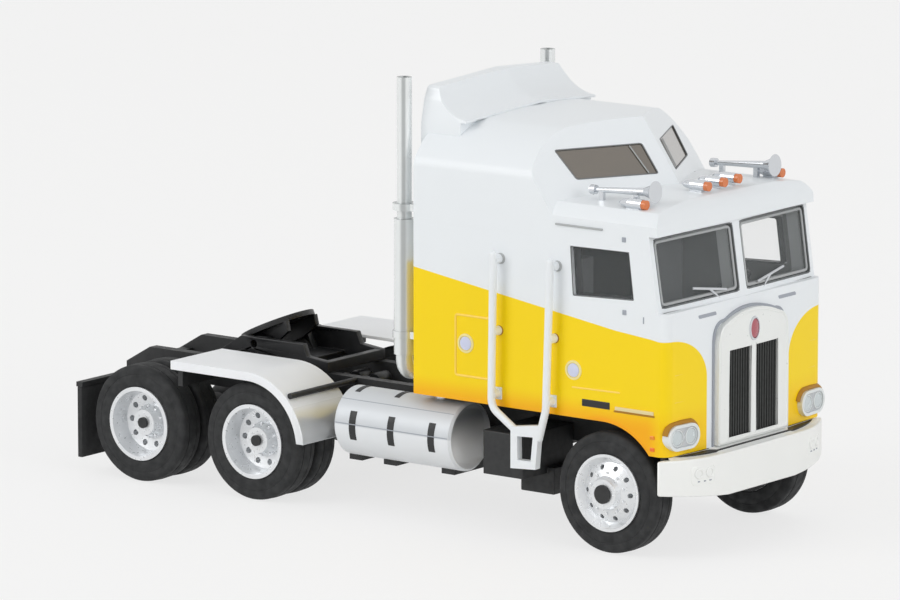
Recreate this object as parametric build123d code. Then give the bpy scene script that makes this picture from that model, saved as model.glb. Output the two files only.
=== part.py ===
from build123d import *
import math
import os

# Die-cast style 1:87 model of a cab-over-engine semi truck tractor unit, in millimetres.
# Stations along X are measured from the front axle, forward positive. Y is left, Z is up
# from the ground. The finished pieces are shifted so that the origin is under the middle.

# Axles and wheels
tyre_r = 6.0
tyre_width = 2.75
bead_r = 3.72
wheelbase = 42.6
tandem_spacing = 14.7
front_tyre_face = 12.9
drive_tyre_face = 14.6
dual_gap = 0.5
axle_r = 0.55
running_clearance = 0.06
seat_gap = 0.02
front_cap_r = 0.92
front_drive_x = -wheelbase
last_drive_x = front_drive_x - tandem_spacing
drive_stations = (front_drive_x, last_drive_x)
drive_middle = (front_drive_x + last_drive_x) / 2
sides = (("left", 1), ("right", -1))

# Chassis
rail_half = 4.7
rail_width = 1.1
rail_inner = rail_half - rail_width
rail_top = 11.6
rail_height = 3.0
rail_bottom = rail_top - rail_height
rail_front = 6.4
tail_overhang = 9.9
rail_tail = tail_overhang - last_drive_x
tail_slope_length = 3.1
tail_slope_drop = 1.8
cross_half = 0.6
cross_lift = 0.3

# Cab
cab_half = 13.15
cab_rear = -23.4
cab_front = 7.5
cab_bottom = 13.0
cab_nose_bottom = 10.3
cab_wall = 0.7
cab_corner_r = 1.2
belt_z = 24.2
belt_x = 6.75
belt_drop = 1.7
brow_z = 31.8
brow_x = 5.75
brow_r = 2.4
visor_z = 31.55
low_roof_z = 34.4
low_roof_edge_z = 33.7
roof_edge_r = 1.2
roof_split_z = 30.3
roof_split_x = -9.0
arch_r = 7.05
arch_x = -0.5
front_sweep = 3.6
nose_sweep = 0.4
over = 0.04

# Windscreen: each half is raked back and swept back towards its corner
screen_rake = 8.6
screen_foot_x = 6.5
screen_foot_z = 24.66
screen_inner_y = 0.6
screen_outer_y = cab_half - 0.6
screen_corners = (
    (screen_inner_y, 24.75), (screen_outer_y - 0.1, 24.6), (screen_outer_y, 31.2),
    (screen_inner_y, 31.3),
)
screen_recess = 0.25
pane_thickness = 0.35
door_window = ((-4.06, 24.9), (3.2, 25.2), (2.6, 29.85), (-4.4, 29.75))

# Raised roof with its two front windows
raised_top = 40.6
raised_shoulder_z = 35.5
raised_crown_drop = 0.5
raised_crown_half = cab_half - 5.5
raised_bend_x = cab_rear + 2.0
raised_rear_drop = 1.4
prow_foot_x = -0.75
prow_foot_z = 34.2
prow_normal = (0.7477, 0.3972, 0.5324)
roof_window = ((1.45, 35.45), (9.2, 35.45), (9.8, 38.15), (1.5, 38.2))

# Roof fairing
fairing_foot_x = -17.8
fairing_middle_x = -19.9
fairing_middle_z = 41.6
fairing_top_x = -21.8
fairing_rear_x = -23.2
fairing_foot_z = raised_top + 0.1
fairing_lip = 0.25
fairing_top_z = 43.85
fairing_half = cab_half - 2.35
fairing_sweep = 0.1
fairing_fall = 0.079
fairing_wall = 0.6

# Tanks, boxes and exhausts
tank_r = 3.45
tank_y = cab_half - 2.45
tank_z = 8.9
tank_front = -18.2
tank_fender_gap = 9.9
tank_rear = front_drive_x + tank_fender_gap
tank_dish = 0.15
bracket_half = 0.8
bracket_depth = 0.45
box_front = -10.1
box_rear = -15.0
box_outer = cab_half - 0.15
box_bottom = 6.0
box_top = 10.4
stack_x = cab_rear - 2.2
stack_y = cab_half - 1.41
stack_top = 44.0
stack_r = 0.75
stack_wall = 0.2
elbow_z = 14.6
elbow_r = 0.85
muffler_r = 1.05
muffler_bottom = 16.5
muffler_top = 30.0

# Fenders, flaps and lamps at the rear
fender_half = 15.5
fender_inner = 7.3
fender_r = 7.2
fender_skin = 0.35
fender_lip = 0.9
fender_lip_width = 0.4
fender_rear = front_drive_x - 9.8
fender_foot_z = 6.65
rod_station = front_drive_x + 5.3
rod_r = 0.3
post_station = front_drive_x - 9.0
post_half = 0.3
flap_x = last_drive_x - 7.7
flap_half = 0.3
flap_inner = 7.2
flap_outer = 14.8
flap_bottom = 1.6
flap_top = 8.9
hanger_height = 0.5
tail_lamp = 0.9
tail_lamp_y = 2.2
tail_lamp_z = rail_bottom + 0.35

# Fifth wheel
plate_r = 3.9
plate_thickness = 0.55
plate_tilt = 25.0
plate_top = 1.6
kingpin_r = 0.9
pivot_x = drive_middle - 0.45
pivot_z = 13.5
pivot_r = 0.35
ear_y = 3.1
ear_half = 0.4
ear_clearance = 0.12
base_rear = pivot_x - 4.1
base_front = pivot_x + 4.9
base_thickness = 0.5
arm_high = 14.2
arm_low = 13.0
arm_step_x = pivot_x + 6.4
arm_front = pivot_x + 9.6

# Grille, bumper and lamps
grille_x = 8.05
grille_half = 5.85
grille_bottom = 10.45
grille_shoulder = 20.3
grille_corner_z = 22.4
grille_corner_y = grille_half - 1.75
grille_apex = 23.2
panel_inner = 0.385
panel_outer = 4.13
panel_bottom = 10.9
panel_top = 19.6
wiper_r = 0.13
bumper_front = 9.2
bumper_half = cab_half + 0.5
bumper_end_x = 6.7
bumper_top = 10.0
bumper_bottom = 5.8
bumper_wall = 0.8
bumper_flat = 6.5
bumper_bend = 0.62
lamp_x = cab_front - 0.5
lamp_y = cab_half - 2.35
lamp_z = 12.1
lamp_turn = 5.0
lamp_length = 4.5
lamp_height = 2.5
lamp_rim = 0.3
lamp_depth = 1.6
lamp_out = 0.65
lens_recess = 0.12
marker_r = 0.5
marker_length = 2.9
# Each roof lamp: front end, place across, height of its middle over the roof
marker_rows = (
    (3.0, cab_half - 1.85, 0.6), (4.0, 2.55, 0.7), (4.1, 0.0, 0.65), (4.0, -2.55, 0.6),
    (2.9, 1.85 - cab_half, 0.45),
)

# Inside the cab
floor_top = cab_bottom + 0.7
seat_rear = -10.0
seat_front = -3.0
seat_inner = 4.3
seat_outer = 10.6
wheel_lean = 40.0

# Horns and grab rails
horn_y = cab_half - 3.15
horn_z = 35.3
horn_front = 3.4
horn_rear = -3.6
horn_rise = 3.5
horn_rows = ((horn_front, 1.1), (3.1, 0.75), (2.2, 0.4), (horn_rear, 0.22))
bar_r = 0.38
bar_foot_r = 0.45
rail_y = cab_half + 1.05
rail_high = 28.1
rear_rail_top_x = -12.85
rear_rail_low_x = -13.05
front_rail_top_x = -6.0
front_rail_low_x = -6.45

axle_to_middle = (rail_tail - bumper_front) / 2

os.makedirs("parts", exist_ok=True)


def save(node, shapes):
    """Write one node: a shape, or a list of shapes that don't touch."""
    pieces = shapes if isinstance(shapes, list) else [shapes]
    solids = [solid for piece in pieces for solid in piece.solids()]
    placed = [solid.moved(Location((axle_to_middle, 0, 0))) for solid in solids]
    result = placed[0] if len(placed) == 1 else Compound(children=placed)
    result.label = node
    export_step(result, f"parts/{node}.step")


def block(x0, x1, y0, y1, z0, z1):
    size = Box(abs(x1 - x0), abs(y1 - y0), abs(z1 - z0))
    return Pos((x0 + x1) / 2, (y0 + y1) / 2, (z0 + z1) / 2) * size


def mirrored(shape):
    return mirror(shape, about=Plane.XZ)


def rod_y(x, z, radius, y0, y1):
    length = y1 - y0
    return Pos(x, (y0 + y1) / 2, z) * Rot(90, 0, 0) * Cylinder(radius, length)


def rod_x(y, z, radius, x0, x1):
    return Pos((x0 + x1) / 2, y, z) * Rot(0, 90, 0) * Cylinder(radius, x1 - x0)


def rod_z(x, y, radius, z0, z1):
    return Pos(x, y, (z0 + z1) / 2) * Cylinder(radius, z1 - z0)


def side_plate(points, y0, y1):
    """A plate whose outline is given in X and Z, from y0 to y1."""
    face = make_face(Polyline(*[(x, y0, z) for x, z in points], close=True))
    return extrude(face, amount=y1 - y0, dir=(0, 1, 0))


def front_plate(points, x0, x1):
    """A plate whose outline is given in Y and Z, from x0 to x1."""
    face = make_face(Polyline(*[(x0, y, z) for y, z in points], close=True))
    return extrude(face, amount=x1 - x0, dir=(1, 0, 0))


def turned_y(profile, x, z, side):
    """A round piece about an axle line: profile rows are (distance outboard, radius)."""
    points = [(0, side * y, r) for y, r in profile]
    face = make_face(Polyline(*points, close=True))
    return Pos(x, 0, z) * revolve(face, Axis.Y)


def tube(points, radii, radius):
    path = FilletPolyline(*points, radius=radii)
    start = path @ 0
    ring = Plane(origin=start, z_dir=path % 0) * Circle(radius)
    return sweep(ring, path)


# Wheels: tyres, rims and axle pins of one axle
def tyre(x, outer_face, side):
    shoulder = 0.3
    crown = 0.05
    inner_face = outer_face - tyre_width
    middle = (outer_face + inner_face) / 2
    rows = (
        (outer_face - 0.25, bead_r),
        (outer_face, bead_r + 0.35),
        (outer_face, tyre_r - shoulder - crown),
        (outer_face - shoulder, tyre_r - crown),
        (middle, tyre_r),
        (inner_face + shoulder, tyre_r - crown),
        (inner_face, tyre_r - shoulder - crown),
        (inner_face, bead_r + 0.35),
        (inner_face + 0.25, bead_r),
    )
    return turned_y(rows, x, tyre_r, side)


def hand_holes(x, y0, y1, count, pitch_r, hole_r, side):
    holes = []
    for k in range(count):
        turn = 2 * math.pi * k / count
        hx = x + pitch_r * math.cos(turn)
        hz = tyre_r + pitch_r * math.sin(turn)
        low, high = sorted((side * y0, side * y1))
        holes.append(rod_y(hx, hz, hole_r, low, high))
    return holes


def front_rim(x, side):
    face = front_tyre_face
    back = face - tyre_width
    rows = (
        (back, axle_r),
        (back, bead_r),
        (face - 0.25, bead_r),
        (face + 0.18, bead_r + 0.08),
        (face + 0.18, bead_r - 0.2),
        (face - 0.45, bead_r - 0.75),
        (face - 0.1, 2.35),
        (face + 0.15, 1.7),
        (face + 0.75, 1.45),
        (face + 0.75, axle_r),
    )
    rim = turned_y(rows, x, tyre_r, side)
    holes = hand_holes(x, face - 1.4, face + 0.6, 10, 2.55, 0.24, side)
    return rim - holes


def drive_rim(x, side):
    face = drive_tyre_face
    back = face - 2 * tyre_width - dual_gap
    rows = (
        (back, axle_r),
        (back, bead_r),
        (face - 0.25, bead_r),
        (face + 0.12, bead_r + 0.05),
        (face + 0.12, bead_r - 0.35),
        (face - 1.7, bead_r - 0.75),
        (face - 1.95, 1.75),
        (face - 0.75, 1.3),
        (face - 0.75, axle_r),
    )
    rim = turned_y(rows, x, tyre_r, side)
    holes = hand_holes(x, face - 2.7, face - 1.2, 10, 2.4, 0.3, side)
    return rim - holes


def build_wheels():
    tyres = [tyre(0, front_tyre_face, s) for _, s in sides]
    save("front_tyres", tyres)
    save("front_rims", [front_rim(0, s) for _, s in sides])
    pin_end = front_tyre_face + 0.95
    pin = rod_y(0, tyre_r, axle_r, -front_tyre_face, front_tyre_face)
    for _, s in sides:
        low, high = sorted((s * (front_tyre_face + 0.75), s * pin_end))
        pin = pin + rod_y(0, tyre_r, front_cap_r, low, high)
        low, high = sorted((s * front_tyre_face, s * pin_end))
        pin = pin + rod_y(0, tyre_r, axle_r, low, high)
    save("front_axle", pin)
    for number, x in enumerate(drive_stations, start=1):
        faces = (drive_tyre_face, drive_tyre_face - tyre_width - dual_gap)
        tyres = [tyre(x, face, s) for _, s in sides for face in faces]
        save(f"drive{number}_tyres", tyres)
        rims = [drive_rim(x, s) for _, s in sides]
        save(f"drive{number}_rims", rims)
        pin_end = drive_tyre_face - 0.45
        save(f"drive{number}_axle", rod_y(x, tyre_r, axle_r, -pin_end, pin_end))


# Chassis frame: two rails with sloped tails, crossmembers and cab mounts
def chassis_frame():
    tail = -rail_tail
    outline = (
        (tail, rail_bottom),
        (rail_front, rail_bottom),
        (rail_front, rail_top),
        (tail + tail_slope_length, rail_top),
        (tail, rail_top - tail_slope_drop),
    )
    rail = side_plate(outline, rail_inner, rail_half)
    frame = rail + mirrored(rail)
    cross_z0 = rail_bottom + cross_lift
    cross_z1 = rail_top - tail_slope_drop + cross_lift
    cross_stations = (
        tail + 1.4, drive_middle, front_drive_x + 7.1, cab_rear + 3.4, cab_rear + 15.4,
        rail_front - 1.2,
    )
    for x in cross_stations:
        x0 = x - cross_half
        frame = frame + block(x0, x + cross_half, -rail_inner, rail_inner, cross_z0, cross_z1)
    nose_front = bumper_front - bumper_wall
    nose_height = 1.4
    for _, s in sides:
        y0 = s * rail_inner
        y1 = s * rail_half
        for x in (cab_rear + 2.4, arch_x - 3.5):
            frame = frame + block(x - 1.0, x + 1.0, y0, y1, rail_top, cab_bottom)
        x0 = rail_front - nose_height
        frame = frame + block(x0, nose_front, y0, y1, rail_bottom, rail_bottom + nose_height)
    nose_z = cab_nose_bottom - 0.1
    beam = extrude(make_face(bumper_plan(bumper_wall + seat_gap)), amount=nose_z)
    beam = beam - block(-bumper_front, rail_front - 0.2, -bumper_half, bumper_half, 0, nose_z)
    beam = beam - block(0, bumper_front, -bumper_half, bumper_half, 0, nose_z - 1.2)
    return frame + beam


# Axle carriers: what holds each axle pin under the rails
def front_axle_carrier():
    beam_half = front_tyre_face - tyre_width - 1.55
    beam_r = 1.0
    spring_z = tyre_r + beam_r
    beam = block(-0.9, 0.9, -beam_half, beam_half, tyre_r - beam_r, spring_z)
    for _, s in sides:
        y0 = s * rail_inner
        y1 = s * (rail_half + 0.2)
        beam = beam + block(-rail_front, rail_front - 0.4, y0, y1, spring_z, spring_z + 0.6)
        for x in (-rail_front, rail_front - 1.5):
            beam = beam + block(x, x + 1.1, y0, y1, spring_z, rail_bottom)
    return beam - rod_y(0, tyre_r, axle_r + running_clearance, -beam_half - 1, beam_half + 1)


def rear_axle_carrier():
    housing_half = drive_tyre_face - 2 * tyre_width - dual_gap - 0.7
    housing_r = 1.25
    bowl_r = 2.3
    pad = 1.6
    tie = 0.7
    shape = block(drive_middle - tie, drive_middle + tie, -rail_half, rail_half,
                  tyre_r - 0.4, tyre_r + tie)
    for _, s in sides:
        y0 = s * rail_inner
        y1 = s * rail_half
        x0 = last_drive_x - 0.9
        x1 = front_drive_x + 0.9
        shape = shape + block(x0, x1, y0, y1, tyre_r - 0.6, tyre_r + 0.9)
        x0 = drive_middle - pad
        shape = shape + block(x0, drive_middle + pad, y0, y1, tyre_r, rail_bottom)
    for x in drive_stations:
        housing = rod_y(x, tyre_r, housing_r, -housing_half, housing_half)
        shape = shape + housing + Pos(x, 0, tyre_r) * Sphere(bowl_r)
    for x in drive_stations:
        reach = housing_half + 1
        shape = shape - rod_y(x, tyre_r, axle_r + running_clearance, -reach, reach)
    return shape


# Windscreen panes lie on two planes
def screen_point(y, z):
    x = screen_foot_x - math.tan(math.radians(screen_rake)) * (z - screen_foot_z)
    x = x - math.tan(math.radians(front_sweep)) * (abs(y) - screen_inner_y)
    return (x, y, z)


def screen_normal(side):
    a = Vector(*screen_point(side * 1, 25))
    b = Vector(*screen_point(side * 10, 25))
    c = Vector(*screen_point(side * 1, 30))
    n = (b - a).cross(c - a).normalized()
    return n if n.X > 0 else n * -1


def screen_pane(side, grow, out, depth):
    n = screen_normal(side)
    points = []
    for y, z in screen_corners:
        dy = grow if y > cab_half / 2 else -grow
        dz = grow if z > (belt_z + brow_z) / 2 else -grow
        points.append(screen_point(side * (y + dy), z + dz))
    face = make_face(Polyline(*points, close=True))
    face = Pos(n.X * out, n.Y * out, n.Z * out) * face
    return extrude(face, amount=depth, dir=(-n.X, -n.Y, -n.Z))


# Cab body: three profiles crossed and the front swept, made smaller by an inset for the hollow
def cab_side_profile(inset):
    rear = cab_rear + inset
    front = cab_front - inset + over
    under = cab_nose_bottom if inset == 0 else cab_nose_bottom - 6
    top = low_roof_z - inset + over
    belt = belt_x - inset + 0.2
    brow = brow_x - inset + 0.1
    low = Polyline((rear, 0, under), (front, 0, under), (front, 0, belt_z - belt_drop),
                   (belt, 0, belt_z), (brow, 0, brow_z))
    edge = ThreePointArc((brow, 0, brow_z), (brow - 0.7, 0, top - 0.75), (brow - brow_r, 0, top))
    roof = Polyline((brow - brow_r, 0, top), (rear, 0, top), (rear, 0, under))
    return make_face(low + edge + roof)


def cab_end_profile(inset):
    half = cab_half - inset
    under = cab_nose_bottom - 8
    top = low_roof_z - inset
    edge_z = low_roof_edge_z - inset
    r = roof_edge_r
    bend = 0.55
    corner = edge_z - r
    walls = Polyline((0, -half, corner), (0, -half, under), (0, half, under), (0, half, corner))
    left = ThreePointArc((0, half, corner), (0, half - bend, edge_z - bend),
                         (0, half - r, edge_z))
    crown = ThreePointArc((0, half - r, edge_z), (0, 0, top), (0, -half + r, edge_z))
    right = ThreePointArc((0, -half + r, edge_z), (0, -half + bend, edge_z - bend),
                          (0, -half, corner))
    return make_face(walls + left + crown + right)


def cab_plan_profile(inset):
    rear = cab_rear + inset - over
    front = cab_front - inset
    half = cab_half - inset + over
    r = cab_corner_r - inset
    corner_x = front - nose_sweep
    bend = (1 - math.cos(math.radians(45))) * r
    right = ThreePointArc((corner_x - r, -half, 0), (corner_x - bend, -half + bend, 0),
                          (corner_x, -half + r, 0))
    nose = ThreePointArc((corner_x, -half + r, 0), (front, 0, 0), (corner_x, half - r, 0))
    left = ThreePointArc((corner_x, half - r, 0), (corner_x - bend, half - bend, 0),
                         (corner_x - r, half, 0))
    back = Polyline((corner_x - r, half, 0), (rear, half, 0), (rear, -half, 0),
                    (corner_x - r, -half, 0))
    return make_face(right + nose + left + back)


def cab_solid(inset):
    body = extrude(cab_side_profile(inset), amount=cab_half + 1, dir=(0, 1, 0), both=True)
    far = low_roof_z + cab_half
    body = body & extrude(cab_end_profile(inset), amount=far, dir=(1, 0, 0), both=True)
    body = body & extrude(cab_plan_profile(inset), amount=far, dir=(0, 0, 1))
    for _, s in sides:
        n = screen_normal(s)
        on_plane = Vector(*screen_point(s * screen_inner_y, belt_z))
        origin = on_plane + n * (screen_recess - inset)
        cutter = Plane(origin=origin, z_dir=n) * Pos(0, 0, far / 2) * Box(2 * far, 2 * far, far)
        cutter = cutter & block(-far, far, 0, s * far, belt_z, visor_z + inset)
        body = body - cutter
    wide = cab_half + 5
    top = low_roof_z + 5
    return body - block(cab_rear - 5, roof_split_x - inset, -wide, wide, roof_split_z, top)


def cab_shell():
    wide = cab_half + 5
    shell = cab_solid(0) - cab_solid(cab_wall)
    under = block(cab_rear - 1, arch_x, -wide, wide, 0, cab_bottom)
    shell = shell - under - rod_y(arch_x, tyre_r - 0.05, arch_r, -wide, wide)
    for _, s in sides:
        y0, y1 = sorted((s * (cab_half - 2), s * (cab_half + 1)))
        shell = shell - side_plate(door_window, y0, y1)
        shell = shell - screen_pane(s, 0, 2.0, 4.0)
    low = roof_split_z - 2
    high = low_roof_z + 2
    rear_half = cab_half - 2.15
    front_half = cab_half - 4.65
    rear_opening = block(cab_rear + 1.9, roof_split_x - 1.5, -rear_half, rear_half, low, high)
    front_opening = block(roof_split_x - 1, roof_split_x + 4, -front_half, front_half, low, high)
    return shell - rear_opening - front_opening


# Raised roof
def prow_point(y, z):
    nx, ny, nz = prow_normal
    x = prow_foot_x - (ny * abs(y) + nz * (z - prow_foot_z)) / nx
    return (x, y, z)


def raised_side_profile(inset):
    rear = cab_rear + inset
    top = raised_top - inset
    high = top + over
    under = roof_split_z - (3 if inset else 0)
    front = cab_front + 0.5
    bend_x = raised_bend_x + inset
    low = Polyline((rear, 0, under), (front, 0, under), (front, 0, high), (bend_x, 0, high))
    rear_top = top - raised_rear_drop
    rear_bend = ThreePointArc((bend_x, 0, high), (rear + 0.55, 0, top - 0.4), (rear, 0, rear_top))
    return make_face(low + rear_bend + Line((rear, 0, rear_top), (rear, 0, under)))


def raised_end_profile(inset):
    top = raised_top - inset
    half = cab_half - inset
    under = roof_split_z - 4
    shoulder = raised_shoulder_z - inset * 0.4
    foot = (0, half, under)
    wall = (0, half, shoulder)
    knee = (0, half - 0.4, shoulder + 1.15)
    crown_half = raised_crown_half - inset
    edge = (0, crown_half, top - raised_crown_drop)
    bend = (0, half - 0.12, shoulder + 0.6)
    slope = (0, half - 2.3, top - 2.1)

    def other(point):
        return (0, -point[1], point[2])

    left = ThreePointArc(wall, bend, knee) + ThreePointArc(knee, slope, edge)
    crown = ThreePointArc(edge, (0, 0, top), other(edge))
    right = (ThreePointArc(other(edge), other(slope), other(knee))
             + ThreePointArc(other(knee), other(bend), other(wall)))
    walls = Polyline(other(wall), other(foot), foot, wall)
    return make_face(left + crown + right + walls)


def raised_roof_solid(inset):
    far = low_roof_z + cab_half
    body = extrude(raised_side_profile(inset), amount=far, dir=(0, 1, 0), both=True)
    body = body & extrude(raised_end_profile(inset), amount=far, dir=(1, 0, 0), both=True)
    nx, ny, nz = prow_normal
    for _, s in sides:
        foot = Vector(prow_foot_x, 0, prow_foot_z) - Vector(nx, s * ny, nz) * inset
        plane = Plane(origin=foot, z_dir=(nx, s * ny, nz))
        cutter = plane * Pos(0, 0, far / 2) * Box(2 * far, 2 * far, far)
        body = body - (cutter & block(-far, far, 0, s * far, 0, 2 * far))
    return body


def roof_pane(side, out, depth):
    nx, ny, nz = prow_normal
    n = Vector(nx, side * ny, nz)
    points = [prow_point(side * y, z) for y, z in roof_window]
    face = make_face(Polyline(*points, close=True))
    face = Pos(n.X * out, n.Y * out, n.Z * out) * face
    return extrude(face, amount=depth, dir=(-n.X, -n.Y, -n.Z))


def raised_roof():
    shell = raised_roof_solid(0) - raised_roof_solid(cab_wall) - cab_solid(0)
    for _, s in sides:
        shell = shell - roof_pane(s, 2.0, 4.0)
    return shell


# Roof fairing: a curved shield open behind and below, each half swept back and down
def fairing_half_solid(inset):
    rear = fairing_rear_x - (2 if inset else 0)
    under = raised_top - 3 - (2 if inset else 0)
    recess = 0.6
    wall_x = fairing_foot_x - recess - inset
    lip_x = wall_x if inset else fairing_foot_x
    foot = fairing_foot_z + inset * 0.1
    lip_top = fairing_foot_z + fairing_lip - inset * 0.3
    middle = (fairing_middle_x - inset * 0.6, 0, fairing_middle_z - inset * 0.8)
    crest = (fairing_top_x - inset, 0, fairing_top_z - inset)
    points = [(rear, 0, under), (wall_x, 0, under), (wall_x, 0, foot)]
    if not inset:
        points.append((lip_x, 0, foot))
    points.append((lip_x, 0, lip_top))
    outline = Polyline(*points) + ThreePointArc((lip_x, 0, lip_top), middle, crest)
    outline = outline + Polyline(crest, (rear, 0, crest[2]), (rear, 0, under))
    face = make_face(outline)
    return extrude(face, amount=fairing_half + 2, dir=(-fairing_sweep, 1, -fairing_fall))


def fairing_solid(inset):
    half_body = fairing_half_solid(inset)
    top = fairing_top_z - inset
    half = fairing_half - inset
    edge = ((half, raised_top - 6), (half - 0.05, fairing_foot_z - 1.2), (half - 0.5, top - 2.0),
            (half - 0.9, top - 1.0), (half - 1.8, top - 0.3), (half - 3.0, top + 1))
    other = [(-y, z) for y, z in reversed(edge)]
    trim = front_plate((*edge, *other), cab_rear - 5, 0)
    return (half_body + mirrored(half_body)) & trim


def roof_fairing():
    shield = fairing_solid(0) - fairing_solid(fairing_wall)
    return shield - raised_roof_solid(0)


# Cab floor and interior
def cab_floor():
    inner = cab_wall + seat_gap
    half = cab_half - inner
    plate = block(cab_rear + inner, cab_front - 1.6, -half, half, cab_bottom, floor_top)
    return plate & cab_solid(inner)


def interior():
    z0 = floor_top
    hump_half = 3.2
    bunk_half = cab_half - 1.65
    shape = block(cab_rear + 2.9, cab_front - 4.1, -hump_half, hump_half, z0, z0 + 5.2)
    shape = shape + block(cab_rear + 1.4, seat_rear - 2.5, -bunk_half, bunk_half, z0, z0 + 4.0)
    seat_low = z0 + 4.6
    for _, s in sides:
        y0, y1 = sorted((s * seat_inner, s * seat_outer))
        cushion = block(seat_rear + 1.4, seat_front, y0, y1, seat_low, seat_low + 2.0)
        back = block(seat_rear, seat_rear + 2.0, y0, y1, seat_low, seat_low + 8.8)
        y2 = s * (hump_half - 0.2)
        y3 = s * (seat_outer - 1.6)
        foot = block(seat_rear + 2.4, seat_front - 1.0, y2, y3, z0, seat_low + 0.2)
        shape = shape + cushion + back + foot
    front = cab_front - 1.5
    dash = (
        (front - 2.8, z0), (front, z0), (front, z0 + 8.6), (front - 0.8, z0 + 9.8),
        (front - 3.4, z0 + 8.6), (front - 3.8, z0 + 6.0),
    )
    dash_half = cab_half - 1.35
    shape = shape + side_plate(dash, -dash_half, dash_half)
    return shape & cab_solid(cab_wall + 0.05)


def steering_wheel():
    hub_x = cab_front - 7.3
    y = (seat_inner + seat_outer) / 2
    hub_z = floor_top + 9.9
    ring_r = 1.95
    wire_r = 0.22
    length = 2.9
    at = Pos(hub_x, y, hub_z) * Rot(0, -wheel_lean, 0)
    wheel = at * Torus(ring_r, wire_r) + at * Cylinder(0.45, 0.6)
    wheel = wheel + at * Box(0.5, 2 * (ring_r - wire_r / 4), 0.3)
    column = at * Pos(0, 0, -length / 2) * Cylinder(0.3, length)
    return wheel + column


# Front: grille, headlamps, bumper and wipers
def grille_surround():
    x0 = cab_front - 0.9
    foot = (x0, grille_half, grille_bottom)
    side = (x0, grille_half, grille_shoulder)
    corner = (x0, grille_half - 0.45, grille_shoulder + 1.25)
    edge = (x0, grille_corner_y, grille_corner_z)

    def other(point):
        return (x0, -point[1], point[2])

    outline = Polyline(side, foot, other(foot), other(side))
    outline = outline + ThreePointArc(other(side), other(corner), other(edge))
    outline = outline + ThreePointArc(other(edge), (x0, 0, grille_apex), edge)
    outline = outline + ThreePointArc(edge, corner, side)
    plate = extrude(make_face(outline), amount=grille_x - x0, dir=(1, 0, 0))
    for _, s in sides:
        y0, y1 = sorted((s * panel_inner, s * panel_outer))
        plate = plate - block(x0 - 1, grille_x + 1, y0, y1, panel_bottom, panel_top)
    return plate - cab_solid(0)


def grille_panels():
    panels = []
    for _, s in sides:
        y0, y1 = sorted((s * panel_inner, s * panel_outer))
        panel = block(cab_front - 0.4, grille_x - 0.3, y0, y1, panel_bottom, panel_top)
        panels.append(panel - cab_solid(0))
    return panels


def lamp_shape(side, trim, x0, x1):
    face = Plane(origin=(x0, 0, 0), x_dir=(0, 1, 0), z_dir=(1, 0, 0))
    oval = face * SlotOverall(lamp_length - 2 * trim, lamp_height - 2 * trim)
    at = Pos(lamp_x, side * lamp_y, lamp_z) * Rot(0, 0, side * lamp_turn)
    return at * extrude(oval, amount=x1 - x0)


def headlamp_bezels():
    bezels = []
    for _, s in sides:
        bezel = lamp_shape(s, 0, -lamp_depth, lamp_out)
        bezel = bezel - lamp_shape(s, lamp_rim, 0, lamp_out + 1)
        bezels.append(bezel - cab_solid(0))
    return bezels


def headlamp_lenses():
    lenses = []
    for _, s in sides:
        lens = lamp_shape(s, lamp_rim, 0, lamp_out - lens_recess)
        lenses.append(lens - cab_solid(0))
    return lenses


def bumper_plan(inset):
    front = bumper_front - inset
    end_x = bumper_end_x - inset * 0.4
    half = bumper_half - inset
    rear = end_x - 2.2
    bend = (front - bumper_bend, bumper_half - 3.45 - inset * 0.5)
    left = ThreePointArc((front, bumper_flat, 0), (*bend, 0), (end_x, half, 0))
    back = Polyline((end_x, half, 0), (rear, half, 0), (rear, -half, 0), (end_x, -half, 0))
    right = ThreePointArc((end_x, -half, 0), (bend[0], -bend[1], 0), (front, -bumper_flat, 0))
    return Line((front, -bumper_flat, 0), (front, bumper_flat, 0)) + left + back + right


def bumper():
    height = bumper_top - bumper_bottom
    wide = bumper_half + 5
    outer = Pos(0, 0, bumper_bottom) * extrude(make_face(bumper_plan(0)), amount=height)
    inner = extrude(make_face(bumper_plan(bumper_wall)), amount=2 * bumper_top)
    cut = block(0, bumper_end_x - 0.3, -wide, wide, 0, 2 * bumper_top)
    shape = outer - inner - cut
    low = bumper_bottom - 0.01
    for _, s in sides:
        wedge = ((s * (bumper_flat - 1), low), (s * (bumper_half + 0.35), low),
                 (s * (bumper_half + 0.35), low + 0.86))
        shape = shape - front_plate(wedge, 0, bumper_front + 3)
    return shape


def wipers():
    blades = []
    lift = 0.25
    for _, s in sides:
        n = screen_normal(s)
        a = Vector(*screen_point(s * 2.6, screen_foot_z + 0.49)) + n * lift
        b = Vector(*screen_point(s * 7.6, screen_foot_z + 1.24)) + n * lift
        pivot = Vector(*screen_point(s * 3.4, screen_foot_z - 0.36)) + n * 0.1
        blade = tube_between(a, b, wiper_r)
        arm = tube_between(pivot, a + (b - a) * 0.5, wiper_r)
        blades.append(blade + arm - cab_solid(0))
    return blades


def tube_between(a, b, radius):
    axis = b - a
    plane = Plane(origin=a, z_dir=axis)
    return plane * Pos(0, 0, axis.length / 2) * Cylinder(radius, axis.length)


# Roof lamps and horns
def roof_top_z(y):
    drop = low_roof_z - low_roof_edge_z
    return low_roof_z - drop * (y / (cab_half - roof_edge_r)) ** 2


def marker_lamps():
    lamps = []
    rows = [(0, marker_r), (-0.55 * marker_length, marker_r), (-0.85 * marker_length, 0.6 * marker_r),
            (-marker_length, 0)]
    for x, y, lift in marker_rows:
        z = roof_top_z(y) + lift
        outline = [(0, 0, 0)] + [(along, 0, r) for along, r in rows]
        body = Pos(x, y, z) * revolve(make_face(Polyline(*outline, close=True)), Axis.X)
        x0 = x - 0.6 * marker_length
        foot = block(x0, x - 0.3, y - 0.3, y + 0.3, z - 1.4, z)
        lamps.append(body + foot - cab_solid(0))
    return lamps


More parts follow.
